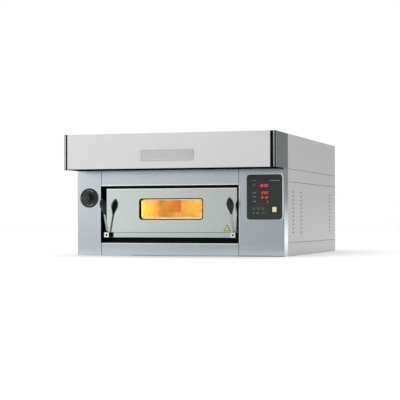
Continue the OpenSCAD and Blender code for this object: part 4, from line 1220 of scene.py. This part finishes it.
class DECKOVEN_OT_stage(bpy.types.Operator):
    """Set up a pale floor, soft studio light and the camera"""

    bl_idname = "deckoven.stage"
    bl_label = "Studio"

    def execute(self, context):
        self.world()
        white = material("White studio floor", linear("#f6f6f6"), 0.0, 0.9)[0]
        self.sheet("floor", [(x, y, -0.5 * MM) for x, y in corners(-40, 40, -40, 40)], white)
        self.cards()
        self.lights()
        self.camera()
        context.scene.view_settings.view_transform = "Standard"
        return {"FINISHED"}

    def world(self):
        """An even pale surround, seen as white, whose reflection darkens away from the front left."""
        world = bpy.data.worlds.new("Studio surround")
        world.use_nodes = True
        tree = world.node_tree
        tree.nodes.clear()
        place = add(tree, "ShaderNodeTexCoord").outputs["Generated"]
        front_left = Vector((-0.8, -0.6, 0)).normalized()
        side = add(tree, "ShaderNodeVectorMath", {0: place, 1: front_left}, operation="DOT_PRODUCT")
        greys = {0: side.outputs["Value"], 1: -0.55, 2: 0.6, 3: 0.2, 4: 0.85}
        grey = add(tree, "ShaderNodeMapRange", greys).outputs[0]
        even, seen, mirrored = (
            add(tree, "ShaderNodeBackground", {"Color": (1, 1, 1, 1), "Strength": strength}).outputs[0]
            for strength in (0.70, 1.0, grey)
        )
        path = add(tree, "ShaderNodeLightPath").outputs
        lit = add(tree, "ShaderNodeMixShader", {0: path["Is Glossy Ray"], 1: even, 2: mirrored}).outputs[0]
        both = add(tree, "ShaderNodeMixShader", {0: path["Is Camera Ray"], 1: lit, 2: seen}).outputs[0]
        add(tree, "ShaderNodeOutputWorld", {"Surface": both})
        bpy.context.scene.world = world

    def sheet(self, name, points, finish):
        """One flat sheet of the studio, which isn't part of the oven."""
        mesh = bpy.data.meshes.new(name)
        mesh.from_pydata(points, [], [(0, 1, 2, 3)])
        mesh.materials.append(finish)
        made = bpy.data.objects.new(name, mesh)
        bpy.context.scene.collection.objects.link(made)
        return made

    def cards(self):
        """Sheets that only reflections see, each with a glow that runs between two (place, glow) pairs.
        Start and end are its lower corners, and lean is how far back its upper edge lies."""
        for name, start, end, lean, bottom, top, axis, near, far in (
            ("softbox", (-4.5, -5.2), (0.3, -5.2), 0.6, 0.0, 3.4, 0, (-2.7, 1.13), (-0.4, 0.56)),
            ("dark_flag", (0.3, -5.2), (3.4, -5.2), 0.6, 0.0, 3.4, 0, (0.3, 0.12), (3.4, 0.12)),
            ("floor_flag", (-3.6, -4.9), (1.8, -4.9), 3.9, 0.003, 0.003, 0, (-2.2, 0.64), (0.0, 0.36)),
            ("rear_glow", (0.8, 2.2), (4.2, 1.2), 0.0, 0.0, 1.2, 2, (0.02, 1.8), (0.31, 0.30)),
        ):
            glow = {"Emission_Color": (1, 1, 1, 1)}
            cloth, tree, shader = material(name + " cloth", linear("#000000"), 0.0, 1.0, **glow)
            tree.links.new(slope(tree, axis, near, far), shader.inputs["Emission Strength"])
            upper = [(x, y + lean, top) for x, y in (end, start)]
            shown = self.sheet(name, [(*start, bottom), (*end, bottom)] + upper, cloth)
            shown.visible_camera = False
            shown.visible_diffuse = False
            shown.visible_shadow = False

    def light(self, kind, name, energy, **settings):
        """Adds one light; the settings are its own."""
        data = bpy.data.lights.new(name, kind)
        data.energy = energy
        for key, value in settings.items():
            setattr(data, key, value)
        made = bpy.data.objects.new(name, data)
        bpy.context.scene.collection.objects.link(made)
        return made

    def lights(self):
        """A high soft key from the front left, an even light from above, and the chamber's lamp."""
        key = self.light("AREA", "key", 60, shape="RECTANGLE", size=3.5, size_y=2.5)
        key.location = (-1.8, -3.4, 4.2)
        key.rotation_mode = "QUATERNION"
        key.rotation_quaternion = (Vector((0, 0, 0.3)) - key.location).to_track_quat("-Z", "Y")
        self.light("SUN", "overhead", 1.3, angle=math.radians(100))
        lamp_at = middle_of("lamp_lens")
        lamp_at.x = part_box("lamp_lens")[0].x - 30 * MM
        # the second one stands for what the chamber's bright walls throw back
        bounce = Vector((-0.2, 0.34, 0))
        for name, energy, at in (("lamp_glow", 14.0, lamp_at), ("bounce_glow", 25.0, lamp_at + bounce)):
            glow = self.light("POINT", name, energy, color=colours().lamp[:3], shadow_soft_size=30 * MM)
            glow.location = at
            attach(glow, "oven")

    def camera(self):
        """A long lens at the height of the door, turned to the oven from its right."""
        lens = bpy.data.cameras.new("camera")
        lens.sensor_width = 36.0
        lens.lens = 114.54
        lens.clip_end = 200
        stand = (2.0392, -6.7202, 0.1852)
        yaw, pitch, roll = (math.radians(a) for a in (17.52, 0.86, -0.09))
        ahead = Vector((-math.sin(yaw) * math.cos(pitch), math.cos(yaw) * math.cos(pitch), math.sin(pitch)))
        right = Vector((math.cos(yaw), math.sin(yaw), 0))
        up = right.cross(ahead)
        rolled_right = right * math.cos(roll) + up * math.sin(roll)
        rolled_up = up * math.cos(roll) - right * math.sin(roll)
        turned = Matrix((rolled_right, rolled_up, -ahead)).transposed()
        made = bpy.data.objects.new("camera", lens)
        made.matrix_world = Matrix.Translation(stand) @ turned.to_4x4()
        bpy.context.scene.collection.objects.link(made)
        bpy.context.scene.camera = made


# the stage comes first, so that the camera is there whatever a later step does
STEPS = (
    DECKOVEN_OT_stage,
    DECKOVEN_OT_front,
    DECKOVEN_OT_casing,
    DECKOVEN_OT_hood,
    DECKOVEN_OT_chamber,
    DECKOVEN_OT_door,
    DECKOVEN_OT_handles,
    DECKOVEN_OT_vent,
    DECKOVEN_OT_controls,
    DECKOVEN_OT_electrics,
)


class DECKOVEN_PT_panel(bpy.types.Panel):
    """Lists the steps and what can be changed before they run"""

    bl_idname = "DECKOVEN_PT_panel"
    bl_label = "Deck Oven"
    bl_space_type = "VIEW_3D"
    bl_region_type = "UI"
    bl_category = "Deck Oven"

    def draw(self, context):
        for group in (context.scene.deck_oven_sizes, context.scene.deck_oven_colours):
            box = self.layout.box()
            for name in group.__annotations__:
                box.prop(group, name)
        for step in STEPS:
            self.layout.operator(step.bl_idname)


CLASSES = (DeckOvenColours, DeckOvenSizes, *STEPS, DECKOVEN_PT_panel)


def register():
    for made in CLASSES:
        bpy.utils.register_class(made)
    bpy.types.Scene.deck_oven_colours = bpy.props.PointerProperty(type=DeckOvenColours)
    bpy.types.Scene.deck_oven_sizes = bpy.props.PointerProperty(type=DeckOvenSizes)


def unregister():
    del bpy.types.Scene.deck_oven_sizes
    del bpy.types.Scene.deck_oven_colours
    for made in reversed(CLASSES):
        bpy.utils.unregister_class(made)


def main():
    register()
    for step in STEPS:
        group, name = step.bl_idname.split(".")
        getattr(getattr(bpy.ops, group), name)()


if __name__ == "__main__":
    main()
